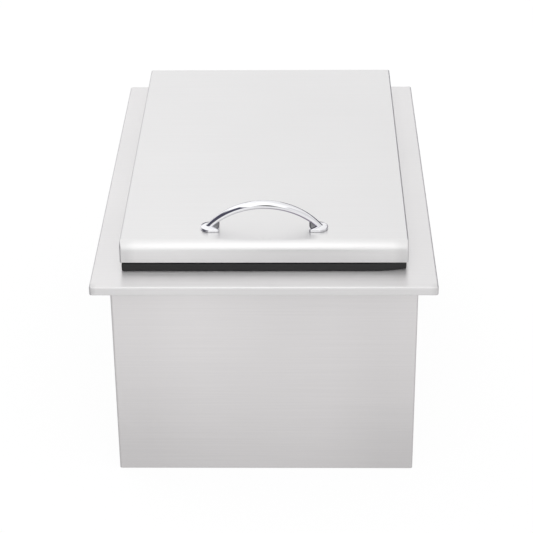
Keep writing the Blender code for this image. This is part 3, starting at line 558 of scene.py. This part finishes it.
def plain_metal(name, colour, roughness, marks=0.02, depth=0.00002, painted_reflection=None):
    """Cast or turned metal: fine marks in its gloss and height and a slight change of tone. The optional
    colour is a painted dark reflection, laid on where the mesh's own attribute of the same name is 1."""
    material, nodes, links, shader = new_material(name)
    place = nodes.new("ShaderNodeTexCoord").outputs["Object"]
    fine = noise_over(nodes, links, place, MARKS_PER_METRE, detail=3)
    wide = noise_over(nodes, links, place, TONES_PER_METRE, detail=2)
    tone = ranged(nodes, links, wide, 0, 1)
    shade = tinted(nodes, links, tone, toned(colour, 1 - marks), toned(colour, 1 + marks))
    if painted_reflection is not None:
        reflection_share = nodes.new("ShaderNodeAttribute")
        reflection_share.attribute_name = "painted_reflection"
        shade = blended(nodes, links, reflection_share.outputs["Fac"], shade, painted_reflection)
    links.new(shade, shader.inputs["Base Color"])
    links.new(ranged(nodes, links, fine, roughness * 0.8, roughness * 1.2), shader.inputs["Roughness"])
    links.new(bumped(nodes, links, fine, depth), shader.inputs["Normal"])
    shader.inputs["Metallic"].default_value = 1.0
    return material


low, high = drain_low, drain_high
ledge = high.z - PLUG_DEPTH - LEDGE
bowl_bottom = ledge - BOWL_DEPTH
barrel_top = high.z - DRAIN_FLANGE_SHEET
barrel = np.linspace(BARREL_BOTTOM + THREAD_LEAD_IN, barrel_top - THREAD_LEAD_IN, THREAD_RINGS)
outlet = softened([
    (SPIGOT_BORE, low.z, SPIGOT_EDGE),
    (SPIGOT, low.z, SPIGOT_EDGE),
    (SPIGOT, BARREL_BOTTOM, SPIGOT_EDGE),
    (BARREL - BARREL_CHAMFER, BARREL_BOTTOM, 0),
    (BARREL, BARREL_BOTTOM + BARREL_CHAMFER, 0),
], steps=4)
inlet = softened([
    (BARREL, barrel_top, 0),
    (DRAIN_FLANGE, barrel_top, DRAIN_FLANGE_FOOT),
    (DRAIN_FLANGE, high.z, DRAIN_FLANGE_EDGE),
    (PLUG_TOP, high.z, PLUG_TOP_EDGE),
    (PLUG_BOTTOM, high.z - PLUG_DEPTH, 0),
    (PLUG_BOTTOM, ledge, LEDGE_BEND),
    (BOWL, ledge, LEDGE_EDGE),
    (BOWL, bowl_bottom, BOWL_BEND),
    (SPIGOT_BORE, bowl_bottom - BOWL_CONE, BORE_EDGE),
    (SPIGOT_BORE, low.z + BORE_START, 0),
], steps=4)
profile = np.vstack([outlet[:-1], np.stack([np.full_like(barrel, BARREL), barrel], 1), inlet])
thread = (BARREL_BOTTOM + THREAD_LEAD_IN, barrel_top - THREAD_RUN_OUT, THREAD_PITCH, THREAD_DEPTH, BARREL)
drain = grid_piece("drain_fitting", turned_grid(profile, drain_axis, thread=thread), along=True, closed=True)
even_shading(drain)
drain.data.materials.append(plain_metal("drain_steel", DRAIN_STEEL, 0.28))
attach(drain, "bin")
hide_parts("drain_body")

low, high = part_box("drain_nut")
bore_heights = np.linspace(high.z, low.z, NUT_RINGS)
face_heights = np.array([low.z, low.z + NUT_CHAMFER, high.z - NUT_CHAMFER, high.z])
nut_profile = np.vstack([
    np.stack([np.full_like(bore_heights, DRAIN_BORE), bore_heights], 1),
    np.stack([np.full_like(face_heights, NUT_FLATS), face_heights], 1),
])

# The outer rings are pulled in to a hexagon, and to a circle that rounds off its corners.
x, y, z = np.moveaxis(turned_grid(nut_profile, (0, 0), columns=120), -1, 0)
reach = np.hypot(x, y)
hexagon = NUT_FLATS / 2 / np.cos(np.mod(np.arctan2(y, x), np.pi / 3) - np.pi / 6)
at_face = (z < low.z + NUT_CHAMFER / 2) | (z > high.z - NUT_CHAMFER / 2)
rounded = NUT_FLATS / 2 * NUT_CORNER_SHARE - np.where(at_face, NUT_CHAMFER, 0)
scale = np.where(reach > NUT_FLATS / 2, np.minimum(hexagon, rounded) / reach, 1)
nut_grid = np.stack([x * scale + drain_x, y * scale + drain_y, z], -1)
nut = grid_piece("drain_hexagon", nut_grid, along=True, closed=True)
even_shading(nut)
nut.data.materials.append(plain_metal("nut_brass", NUT_BRASS, 0.33))
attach(nut, "bin")
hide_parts("drain_nut")
refinish(plain_metal("grate_steel", DRAIN_STEEL, 0.30), "drain_grate")


# Rubber: the two drain washers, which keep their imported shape, and the stopper, a moulded plug with a
# tapered body, a flat rim that rests on the drain's flange and a knob to lift it by.
STOPPER_POLE = 0.0005
STOPPER_DEPTH = 0.0072
STOPPER_EDGE = 0.0008
STOPPER_NECK = 0.0003
STOPPER_RIM = 0.0255
STOPPER_RIM_SHEET = 0.0028
STOPPER_RIM_FOOT = 0.0006
STOPPER_RIM_EDGE = 0.0012
KNOB_NECK = 0.0032
KNOB_NECK_BEND = 0.0016
KNOB_FOOT = 0.0012
KNOB = 0.0062
KNOB_LOWER_BEND = 0.0018
KNOB_UPPER_BEND = 0.0022
KNOB_TOP_BEND = 0.001
KNOB_LOWER_SHARE = 0.3
KNOB_UPPER_SHARE = 0.75
NECK_HEIGHT = 0.0045
KNOB_HEIGHT = 0.0075
RUNNING_FIT = 0.0003
TOOTH_PER_METRE = (1500, 1500, 1500)
TOOTH_DEPTH = 0.00006
BLOOM_PER_METRE = (25, 60, 60)
BLOOM_TONE = 1.45
BLOOM_GLOSS_SPREAD = 0.06
RUBBER = (0.020, 0.020, 0.021)


def moulded_rubber(name, colour=RUBBER, roughness=0.62):
    """Black rubber: a matt skin with a fine tooth in its height and a paler bloom in patches."""
    material, nodes, links, shader = new_material(name)
    place = nodes.new("ShaderNodeTexCoord").outputs["Object"]
    tooth = noise_over(nodes, links, place, TOOTH_PER_METRE, detail=2)
    bloom = noise_over(nodes, links, place, BLOOM_PER_METRE, detail=3)
    shade = tinted(nodes, links, ranged(nodes, links, bloom, 0, 1), colour, toned(colour, BLOOM_TONE))
    gloss = ranged(nodes, links, bloom, roughness - BLOOM_GLOSS_SPREAD, roughness + BLOOM_GLOSS_SPREAD)
    links.new(shade, shader.inputs["Base Color"])
    links.new(gloss, shader.inputs["Roughness"])
    links.new(bumped(nodes, links, tooth, TOOTH_DEPTH), shader.inputs["Normal"])
    return material


refinish(moulded_rubber("washer_rubber"), "drain_washer_upper", "drain_washer_lower")
low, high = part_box("drain_stopper")
taper = (PLUG_TOP - PLUG_BOTTOM) / PLUG_DEPTH
rim_bottom = low.z + STOPPER_DEPTH + RUNNING_FIT
rim_top = rim_bottom + STOPPER_RIM_SHEET
knob_bottom = rim_top + NECK_HEIGHT
plug = softened([
    (STOPPER_POLE, low.z, 0),
    (PLUG_TOP - RUNNING_FIT - taper * STOPPER_DEPTH, low.z, STOPPER_EDGE),
    (PLUG_TOP - RUNNING_FIT, rim_bottom, STOPPER_NECK),
    (STOPPER_RIM, rim_bottom, STOPPER_RIM_FOOT),
    (STOPPER_RIM, rim_top, STOPPER_RIM_EDGE),
    (KNOB_NECK, rim_top, KNOB_NECK_BEND),
    (KNOB_NECK, knob_bottom, KNOB_FOOT),
    (KNOB, knob_bottom + KNOB_HEIGHT * KNOB_LOWER_SHARE, KNOB_LOWER_BEND),
    (KNOB, knob_bottom + KNOB_HEIGHT * KNOB_UPPER_SHARE, KNOB_UPPER_BEND),
    (KNOB_NECK, high.z, KNOB_TOP_BEND),
    (STOPPER_POLE, high.z, 0),
])
plug_grid = turned_grid(plug, drain_axis, columns=72)
stopper = grid_piece("stopper_plug", plug_grid, first=True, last=True, closed=True)
even_shading(stopper)
stopper.data.materials.append(moulded_rubber("stopper_rubber"))
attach(stopper, "stopper")
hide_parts("drain_stopper")


# Lid cover: a brushed stainless sheet rolled over in front to a broad round nose, with plain sides and rear
# and dressed welds at the two ends of its front. Both ends are painted a shade darker: painted shade where
# the nose's highlight fades. Its lower edge is turned under all round, which shows as a thin pale line above
# the seal.
LID_SHEET = 0.001
LID_CORNER = 0.0022
LID_BEND = 0.0020
LID_SHADED_REACH = 0.020
NOSE = 0.0127
NOSE_STEPS = 28
TURN_UNDER = 0.0004
EDGE_DROP = 0.0005
RETURN_WIDTH = 0.0032
RETURN_CORNER = 0.0006


def lid_rings(half_width, front, rear, top, bottom):
    """Rings up the cover. At a height d above the start of the nose, the front is set back by
    R - sqrt(R^2 - d^2), and the small side bend does the same with its own radius. The lowest rings turn
    under."""
    under = softened([(RETURN_WIDTH, bottom, 0), (0, bottom, TURN_UNDER), (0, top - NOSE, 0)])[:-1]
    turn = np.linspace(0, np.pi / 2, NOSE_STEPS + 1)
    heights = np.concatenate([under[:, 1], top - NOSE + NOSE * np.sin(turn)])
    inset = np.concatenate([under[:, 0], np.zeros(NOSE_STEPS + 1)])
    setback = np.concatenate([np.zeros(len(under)), NOSE * (1 - np.cos(turn))])
    into_bend = np.maximum(heights - top + LID_BEND, 0)
    side = inset + LID_BEND - np.sqrt(np.maximum(LID_BEND**2 - into_bend**2, 0))
    corner = np.maximum(LID_CORNER - inset, RETURN_CORNER)
    return plan_rings(half_width - side, front + inset + setback, rear - side, corner, heights)


cover_low, cover_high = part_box("lid_skin")
cover_rings = lid_rings(cover_high.x, cover_low.y, cover_high.y, cover_high.z, cover_low.z - EDGE_DROP)
cover = grid_piece("lid_cover", cover_rings, last=True)
lay_grain(cover.data)
thickened(cover, LID_SHEET)
# Painted shade at both ends of the front.
shaded_ends = (cover_high.x, cover_low.y, LID_SHADED_REACH, ENDS_PAINTED_SHADE)
cover.data.materials.append(brushed_steel("lid_steel", roughness=0.32, contrast=0.02, shaded_ends=shaded_ends))
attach(cover, "lid")
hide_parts("lid_skin")


# Inner panel of the lid: a thinner stainless pan set inside the turned under edge. Its field is pressed up a
# little behind the seal, and its own edges stand up inside the cover.
PAN_SHEET = 0.0008
PAN_BEND = 0.0015
PAN_GAP = 0.0002
PAN_WALL = 0.012
PRESS_MARGIN = 0.036
PRESS_RISE = 0.003
PRESS_CORNER = 0.018

pan_bottom = cover_low.z
press = softened([
    (PRESS_RISE + 2 * PAN_BEND, pan_bottom + PRESS_RISE, 0),
    (PRESS_RISE, pan_bottom + PRESS_RISE, PAN_BEND),
    (0, pan_bottom, PAN_BEND),
    (-2 * PAN_BEND, pan_bottom, 0),
])
pan_edge = softened([
    (2 * PAN_BEND, pan_bottom, 0),
    (0, pan_bottom, PAN_BEND),
    (0, pan_bottom + PAN_WALL, 0),
])
press_plan, pan_plan = [
    (cover_high.x - margin, cover_low.y + margin, cover_high.y - margin, corner)
    for margin, corner in ((PRESS_MARGIN, PRESS_CORNER), (RETURN_WIDTH + PAN_GAP, LID_CORNER))
]
pan_rings = np.vstack([carried(press, press_plan), carried(pan_edge, pan_plan)])
pan = grid_piece("lid_inner_panel", pan_rings, first=True)
lay_grain(pan.data)
thickened(pan, PAN_SHEET)
pan.data.materials.append(brushed_steel("pan_steel", TUB_STEEL, roughness=0.36, anisotropy=0.5))
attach(pan, "lid")
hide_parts("lid_pan")


# Seal: a black rubber extrusion under the lid's edge. A narrow neck below the cover shows as the darkest
# line, the face below it is slightly crowned, and the lower edge rolls under to the flange. The right end of
# its front run is slack and drawn back.
SEAL_WIDTH = 0.016
SEAL_CORNER = 0.0018
SEAL_NECK = 0.0024
SEAL_NECK_HEIGHT = 0.0020
SEAL_NECK_BEND = 0.0003
SEAL_LIP = 0.0003
SEAL_LIP_BEND = 0.0004
SEAL_CROWN = 0.004
SEAL_CROWN_SHARE = 0.55
SEAL_ROLL = 0.0017
SEAL_HEEL = 0.0022
SEAL_BACK_BEND = 0.0006
SLACK = 0.0065
SLACK_LENGTH = 0.044
FRONT_PLACES = 60
SEAL_RUBBER = (0.0095, 0.0092, 0.0095)

low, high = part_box("lid_gasket")
neck_top, neck_bottom = high.z - EDGE_DROP, high.z - SEAL_NECK_HEIGHT
crown_height = low.z + (high.z - low.z) * SEAL_CROWN_SHARE
seal_profile = softened([
    (SEAL_NECK, neck_top, 0),
    (SEAL_NECK, neck_bottom, SEAL_NECK_BEND),
    (SEAL_LIP, neck_bottom, SEAL_LIP_BEND),
    (0, crown_height, SEAL_CROWN),
    (SEAL_LIP, low.z, SEAL_ROLL),
    (SEAL_WIDTH - SEAL_LIP, low.z, SEAL_HEEL),
    (SEAL_WIDTH, neck_bottom, SEAL_BACK_BEND),
    (SEAL_WIDTH - SEAL_NECK, neck_bottom, SEAL_NECK_BEND),
    (SEAL_WIDTH - SEAL_NECK, neck_top, 0),
], steps=7)
seal_rings = carried(seal_profile, (high.x, low.y, high.y, SEAL_CORNER))

# More places along the straight front run let its right end bend.
run_start = 3 * (CORNER_ARC + 1)
start, end = seal_rings[:, None, run_start - 1], seal_rings[:, None, run_start]
run_places = start + (end - start) * np.linspace(0, 1, FRONT_PLACES + 2)[1:-1, None]
seal_rings = np.concatenate([seal_rings[:, :run_start], run_places, seal_rings[:, run_start:]], axis=1)
to_end = np.clip((seal_rings[..., 0] - high.x + SLACK_LENGTH) / SLACK_LENGTH, 0, 1)
to_front = np.clip((low.y + 2 * SEAL_WIDTH - seal_rings[..., 1]) / SEAL_WIDTH, 0, 1)
seal_rings[..., 1] += SLACK * to_end**2 * to_front
seal = grid_piece("lid_seal", seal_rings, along=True, closed=True)
even_shading(seal)
seal.data.materials.append(moulded_rubber("seal_rubber", SEAL_RUBBER, roughness=0.5))
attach(seal, "lid")
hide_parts("lid_gasket")


# Handle: one polished, chromed casting. Its bar is an arc, thickest at the crown, with a painted dark
# reflection in a band low on its front. Each end runs into a foot that is round outside and square inside,
# and an upright web closes the gap between the foot's square end and the bar.
HANDLE_SPACING = 0.137
HANDLE_END_RISE = 0.0044
BAR = 0.0055
BAR_END = 0.0038
BAR_END_HEIGHT = 0.0012
BAR_RINGS = 121
BAR_COLUMNS = 40
BAND_TOP = 0.35
BAND_TOP_FADE = 0.25
BAND_BOTTOM = 0.80
BAND_BOTTOM_FADE = 0.15
BAND_MIDDLE_SHARE = 0.8
BAND_LEFT_SHARE = 0.15
FOOT = 0.012
FOOT_HEIGHT = 0.0036
FOOT_CHAMFER = 0.0002
FOOT_DOME = 0.0010
FOOT_DOME_STEPS = 8
FOOT_EDGE = 0.0011
FOOT_EDGE_STEPS = 6
FOOT_CORNER = 0.0025
FOOT_SHARPEST = 0.0004
ARC_GAP = 0.00001
WEB_SHEET = 0.0064
WEB_CORNER = 0.0018
WEB_INSET = 0.0004
CHROME = (0.77, 0.77, 0.79)
WEB_SHADE_CHROME = (0.22, 0.22, 0.23)
PAINTED_REFLECTION_CHROME = (0.17, 0.14, 0.21)


def foot_grid(x, y, outward, profile):
    """Rings up a foot: for each (inset, height) its plan, half a circle outside and small corners inside."""
    rings = []
    for inset, height in profile:
        half = FOOT - inset
        inner, outer = max(FOOT_CORNER - inset, FOOT_SHARPEST), half - ARC_GAP
        plan = softened([
            (-half, -half, inner),
            (-half, half, inner),
            (half, half, outer),
            (half, -half, outer),
        ], steps=14)
        rings.append(np.stack([x + outward * plan[:, 0], y + plan[:, 1], np.full(len(plan), height)], 1))
    return np.stack(rings)


low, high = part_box("lid_handle")
handle_y = (low.y + high.y) / 2
half_span = HANDLE_SPACING / 2
crown = high.z - BAR
arch_height = crown - low.z - HANDLE_END_RISE
arch = (half_span**2 + arch_height**2) / (2 * arch_height)
half_sweep = math.asin(half_span / arch)
along = np.linspace(-1, 1, BAR_RINGS)[:, None]
angle = np.linspace(0, 2 * np.pi, BAR_COLUMNS, endpoint=False)
thickness = BAR + (BAR_END - BAR) * along**2
reach = arch + thickness * np.cos(angle)
bar = np.stack([
    reach * np.sin(along * half_sweep),
    handle_y + thickness * np.sin(angle),
    crown - arch + reach * np.cos(along * half_sweep),
], -1)

# Both ends run straight on, down into the feet.
onward = np.array([math.cos(half_sweep), 0, -math.sin(half_sweep)])
fall = (bar[[0, -1], :, 2:] - low.z - BAR_END_HEIGHT) / math.sin(half_sweep)
ends = bar[[0, -1]] + fall * np.stack([onward * (-1, 1, 1), onward])[:, None]
handle = grid_piece("handle_bar", np.vstack([ends[:1], bar, ends[1:]]), first=True, last=True, closed=True)

# The painted dark reflection, as a share from 0 to 1 at each point of the bar.
along = np.vstack([[-1], along, [1]])
downward = -np.cos(angle)
band = np.clip((downward - BAND_TOP + BAND_TOP_FADE * np.maximum(along, 0)) / BAND_TOP_FADE, 0, 1)
band *= np.clip((BAND_BOTTOM - downward) / BAND_BOTTOM_FADE, 0, 1) * (np.sin(angle) < 0)
band *= np.clip(BAND_MIDDLE_SHARE + along, BAND_LEFT_SHARE, 1)
handle.data.attributes.new("painted_reflection", "FLOAT", "POINT").data.foreach_set("value", band.ravel())
polish = {"roughness": 0.035, "marks": 0.01, "depth": 0.000004}
# The bar's band takes a dark violet colour: a painted reflection.
handle.data.materials.append(plain_metal("bar_chrome", CHROME, painted_reflection=PAINTED_REFLECTION_CHROME, **polish))
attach(handle, "lid")
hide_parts("lid_handle")

turn = np.linspace(0, np.pi / 2, FOOT_EDGE_STEPS + 1)
inward = np.linspace(0, 1, FOOT_DOME_STEPS + 1)[1:]
foot_top = low.z + FOOT_HEIGHT
foot_profile = np.vstack([
    [(FOOT_CHAMFER, low.z), (0, low.z + FOOT_CHAMFER)],
    np.stack([FOOT_EDGE * (1 - np.cos(turn)), foot_top - FOOT_EDGE * (1 - np.sin(turn))], 1),
    np.stack([FOOT_EDGE + (FOOT - 2 * FOOT_EDGE) * inward, foot_top + FOOT_DOME * (1 - (1 - inward)**2)], 1),
])
web_inside, web_half = half_span - FOOT + WEB_INSET, WEB_SHEET / 2
web_plan = softened([
    (web_inside, -web_half, WEB_CORNER),
    (web_inside, web_half, WEB_CORNER),
    (half_span, web_half, 0),
    (half_span, -web_half, 0),
], steps=8)
web_bottom = np.full(len(web_plan), low.z + FOOT_HEIGHT / 2)
web_top = crown - arch + np.sqrt(arch**2 - web_plan[:, 0]**2)
chrome = plain_metal("foot_chrome", CHROME, **polish)
# The webs' chrome is dark: painted shade in the gap between bar and foot, on rougher metal.
recess = plain_metal("handle_web_shade", WEB_SHADE_CHROME, 0.30, marks=0.05)
for outward, word in ((-1, "left"), (1, "right")):
    foot_rings = foot_grid(outward * half_span, handle_y, outward, foot_profile)
    foot = grid_piece(f"handle_foot_{word}", foot_rings, first=True, last=True, closed=True)
    web_x, web_y = outward * web_plan[:, 0], handle_y + web_plan[:, 1]
    web_rings = np.stack([np.stack([web_x, web_y, level], 1) for level in (web_bottom, web_top)])
    web = grid_piece(f"handle_web_{word}", web_rings, first=True, last=True, closed=True)
    for thing, metal in ((foot, chrome), (web, recess)):
        even_shading(thing)
        thing.data.materials.append(metal)
        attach(thing, "lid")


# Hinges and fasteners: satin stainless butt hinges behind the lid, with their pins, screws, nuts and the
# plates inside the lid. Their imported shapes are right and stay.
HINGE_STEEL = (0.66, 0.66, 0.66)

sides = ("left", "right")
hinge_words = ("hinge_fixed_leaf", "hinge_moving_leaf", "hinge_pin", "hinge_backing")
hinge_nodes = [f"{word}_{side}" for word in hinge_words for side in sides]
screw_words = ("hinge_flange_screw", "hinge_flange_nut", "hinge_lid_screw")
screw_nodes = [f"{word}_{hinge}_{side}" for word in screw_words for hinge in sides for side in sides]
handle_nodes = ("handle_plate", "handle_screw_left", "handle_screw_right")
refinish(plain_metal("hinge_steel", HINGE_STEEL, 0.30), *hinge_nodes)
refinish(plain_metal("fastener_steel", HINGE_STEEL, 0.25), *screw_nodes, *handle_nodes)


# Camera: it looks down at the front from a little right of the middle, as a fit to the photograph's straight
# edges places it.
CAMERA_PLACE = (0.0454, -2.2338, 1.3607)
CAMERA_PITCH = math.radians(28.584)
CAMERA_YAW = math.radians(1.235)
CAMERA_ROLL = math.radians(0.629)
FOCAL_PIXELS = 1783.43
PICTURE_PIXELS = 533
SENSOR_WIDTH = 36.0

camera_data = bpy.data.cameras.new("camera")
camera_data.sensor_fit = "HORIZONTAL"
camera_data.sensor_width = SENSOR_WIDTH
camera_data.lens = FOCAL_PIXELS * SENSOR_WIDTH / PICTURE_PIXELS
camera = bpy.data.objects.new("camera", camera_data)
bpy.context.scene.collection.objects.link(camera)
cy, sy = math.cos(CAMERA_YAW), math.sin(CAMERA_YAW)
cp, sp = math.cos(CAMERA_PITCH), math.sin(CAMERA_PITCH)
cr, sr = math.cos(CAMERA_ROLL), math.sin(CAMERA_ROLL)
turn_about_z = np.array([[cy, sy, 0], [-sy, cy, 0], [0, 0, 1]])
tip_down = np.array([[1, 0, 0], [0, -sp, -cp], [0, cp, -sp]])
roll = np.array([[cr, sr, 0], [-sr, cr, 0], [0, 0, 1]])
right, down, forward = roll @ tip_down @ turn_about_z
aim = np.eye(4)
aim[:3, :3] = np.stack([right, -down, -forward], 1)
aim[:3, 3] = CAMERA_PLACE
camera.matrix_world = Matrix(aim.tolist())
bpy.context.scene.camera = camera


# Floor: a wide, pale, matt sweep, nearly even white in the picture. The steel mirrors it as brightest a
# metre or so in front of the bin, darker close to it, and darkest where the camera stands, far off at the
# left and behind at the right.
FLOOR_HALF = 6.0
FLOOR_LEVEL = -0.0005
FLOOR_WHITE = (0.80, 0.80, 0.80, 1)
FLOOR_GREYS = ((0.0, 1.1), (0.28, 1.1), (0.36, 1.22), (0.46, 1.24), (0.53, 1.15), (0.60, 0.94), (0.66, 0.71))
SEEN_WHITE = (1.03, 1.03, 1.03)
SEEN_SHARE = 0.9
PATCH_MIDDLE = 0.045

# Fades over the floor's metres. Each is (low, high, start, end), as ranged takes them.
FLOOR_LENGTH = (0, 1, -3, 1)
FLOOR_SIDEWAYS = (1.06, 1.0, -0.35, 0.35)
FLOOR_OUTWARDS = (1, 0.94, 0.06, 0.28)
LEFT_FRONT = (1, 0, -1.3, -1.0)
LEFT_SIDE = (0.85, 0, -0.50, -0.35)
PATCH_FRONT = (1, 0, -1.8, -0.78)
PATCH_SIDES = (0.95, -0.15, 0.03, 0.26)
RIGHT_SIDE = (0, 0.8, 0.40, 0.55)
RIGHT_REAR = (0, 1, 0.4, 0.6)


def graded(nodes, links, value, greys):
    """Greys that follow (position, grey) pairs, straight between them."""
    ramp = nodes.new("ShaderNodeValToRGB")
    while len(ramp.color_ramp.elements) < len(greys):
        ramp.color_ramp.elements.new(0.5)
    for element, (position, grey) in zip(ramp.color_ramp.elements, greys):
        element.position = position
        element.color = (grey, grey, grey, 1)
    links.new(value, ramp.inputs["Fac"])
    return ramp.outputs["Color"]


def area(nodes, links, *fades):
    """A soft area: the product of several ranged values, each given as the value and its fade."""
    return every(nodes, links, *[ranged(nodes, links, value, *fade) for value, fade in fades])


def darkest(nodes, links, *areas):
    """The largest of several values."""
    most = areas[0]
    for share in areas[1:]:
        most = worked(nodes, links, "MAXIMUM", most, share)
    return most


places = np.array([-FLOOR_HALF, FLOOR_HALF])
floor_x, floor_y = np.meshgrid(places, places)
floor_grid = np.stack([floor_x, floor_y, np.full((2, 2), FLOOR_LEVEL)], -1)
floor = grid_piece("floor", floor_grid, around=False)
floor_material, nodes, links, shader = new_material("floor_white")
shader.inputs["Base Color"].default_value = FLOOR_WHITE
shader.inputs["Roughness"].default_value = 1.0
shader.inputs["Specular IOR Level"].default_value = 0.0
spot = coordinates(nodes, links, "Object")
outward = worked(nodes, links, "ABSOLUTE", spot["X"])
aside = worked(nodes, links, "ABSOLUTE", worked(nodes, links, "SUBTRACT", spot["X"], PATCH_MIDDLE))
left_dark = area(nodes, links, (spot["Y"], LEFT_FRONT), (spot["X"], LEFT_SIDE))
patch_dark = area(nodes, links, (spot["Y"], PATCH_FRONT), (aside, PATCH_SIDES))
right_dark = area(nodes, links, (spot["X"], RIGHT_SIDE), (spot["Y"], RIGHT_REAR))
darkness = darkest(nodes, links, right_dark, left_dark, patch_dark)
mirrored = every(
    nodes, links,
    graded(nodes, links, ranged(nodes, links, spot["Y"], *FLOOR_LENGTH), FLOOR_GREYS),
    ranged(nodes, links, outward, *FLOOR_OUTWARDS),
    ranged(nodes, links, spot["X"], *FLOOR_SIDEWAYS),
    worked(nodes, links, "SUBTRACT", 1, darkness),
)
rays = nodes.new("ShaderNodeLightPath").outputs
in_mirror = worked(nodes, links, "MAXIMUM", rays["Is Glossy Ray"], rays["Is Transmission Ray"])
in_picture = worked(nodes, links, "MULTIPLY", rays["Is Camera Ray"], SEEN_SHARE)
glow = nodes.new("ShaderNodeEmission")
links.new(blended(nodes, links, in_mirror, SEEN_WHITE, mirrored), glow.inputs["Color"])
mix = nodes.new("ShaderNodeMixShader")
links.new(worked(nodes, links, "MAXIMUM", in_mirror, in_picture), mix.inputs[0])
links.new(shader.outputs[0], mix.inputs[1])
links.new(glow.outputs[0], mix.inputs[2])
links.new(mix.outputs[0], nodes["Material Output"].inputs["Surface"])
floor.data.materials.append(floor_material)


# Room: even white in the picture. The steel mirrors it as a little brighter at the left and towards the
# front, with dark flags at the left and along the rear and a faint one at the right. It is dark low down
# where the camera stands.
SKY_GREYS = ((0.0, 0.85), (0.40, 0.90), (0.50, 1.04), (0.60, 1.12), (0.74, 1.16), (1.0, 1.12))
FLAG = (0.015, 0.012, 0.055)
FLAG_LEAN = 0.4
WHITE = (1, 1, 1)

# Fades over the x, y or z of the direction looked in, written as the floor's are.
ROOM_HEIGHT = (0, 1, -1, 1)
ROOM_SIDEWAYS = (1.13, 0.90, -0.35, 0.35)
ROOM_FORWARDS = (1.20, 1.0, -0.5, 0.1)
FRONT_HALF = (1, 0, -0.25, -0.05)
REAR_HALF = (0, 1, 0.10, 0.30)
UNDER_SOFTBOX = (1, 0, 0.62, 0.75)
CAMERA_SIDES = (1.0, -0.28, 0.03, 0.14)
CAMERA_TOP = (1.0, 0.08, 0.04, 0.34)
LEFT_FLAG = (0.95, 0, -0.17, -0.12)
FAR_LEFT_FLAG = (0.95, 0, -0.70, -0.55)
FAR_LEFT_REAR = (1, 0, 0.20, 0.35)
RIGHT_FLAG = (0, 0.3, 0.10, 0.15)
REAR_FLAG_TOP = (0.95, 0, 0.14, 0.22)
REAR_FLAG_LIFT = (0, 0.22, 0.10, 0.22)
REAR_FLAG_LEFT = (0.35, 1.0, -0.32, -0.14)
REAR_RIGHT_FLAG = (0, 1, 0.15, 0.22)
REAR_RIGHT_TOP = (0.9, 0, 0.40, 0.52)

world = bpy.data.worlds.new("studio")
bpy.context.scene.world = world
world.use_nodes = True
nodes, links = world.node_tree.nodes, world.node_tree.links
place = coordinates(nodes, links, "Generated")
x, y, z = place["X"], place["Y"], place["Z"]
outward = worked(nodes, links, "ABSOLUTE", x)
lean = worked(nodes, links, "MULTIPLY", z, FLAG_LEAN)
from_left = worked(nodes, links, "ADD", x, lean)
from_right = worked(nodes, links, "SUBTRACT", x, lean)
lift = ranged(nodes, links, outward, *REAR_FLAG_LIFT)
from_level = worked(nodes, links, "SUBTRACT", worked(nodes, links, "ABSOLUTE", z), lift)
in_front, behind, below = (y, FRONT_HALF), (y, REAR_HALF), (z, UNDER_SOFTBOX)
camera_dark = area(nodes, links, (outward, CAMERA_SIDES), in_front, (z, CAMERA_TOP))
left_flag = area(nodes, links, (from_left, LEFT_FLAG), in_front, below)
far_left_flag = area(nodes, links, (x, FAR_LEFT_FLAG), (y, FAR_LEFT_REAR), below)
right_flag = area(nodes, links, (from_right, RIGHT_FLAG), in_front, below)
rear_flag = area(nodes, links, behind, (from_level, REAR_FLAG_TOP), (x, REAR_FLAG_LEFT))
rear_right_flag = area(nodes, links, (x, REAR_RIGHT_FLAG), behind, (z, REAR_RIGHT_TOP))
flags = darkest(nodes, links, left_flag, far_left_flag, right_flag, rear_flag, rear_right_flag)
lit = every(
    nodes, links,
    graded(nodes, links, ranged(nodes, links, z, *ROOM_HEIGHT), SKY_GREYS),
    ranged(nodes, links, x, *ROOM_SIDEWAYS),
    ranged(nodes, links, y, *ROOM_FORWARDS),
    worked(nodes, links, "SUBTRACT", 1, camera_dark),
)
room = blended(nodes, links, flags, lit, FLAG)
in_picture = nodes.new("ShaderNodeLightPath").outputs["Is Camera Ray"]
links.new(blended(nodes, links, in_picture, room, WHITE), nodes["Background"].inputs["Color"])


# Softbox: one broad, weak light above the front, tipped towards the lid.
SOFTBOX_WIDTH = 0.44
SOFTBOX_DEPTH = 1.40
SOFTBOX_WATTS = 0.42
SOFTBOX_PLACE = (-0.005, -0.964, 1.31)
SOFTBOX_TILT = math.radians(30)

softbox_data = bpy.data.lights.new("softbox", "AREA")
softbox_data.shape = "RECTANGLE"
softbox_data.size = SOFTBOX_WIDTH
softbox_data.size_y = SOFTBOX_DEPTH
softbox_data.energy = SOFTBOX_WATTS
softbox = bpy.data.objects.new("softbox", softbox_data)
bpy.context.scene.collection.objects.link(softbox)
softbox.location = SOFTBOX_PLACE
softbox.rotation_euler = (SOFTBOX_TILT, 0, 0)


# Picture: plain colours.
bpy.context.scene.view_settings.view_transform = "Standard"
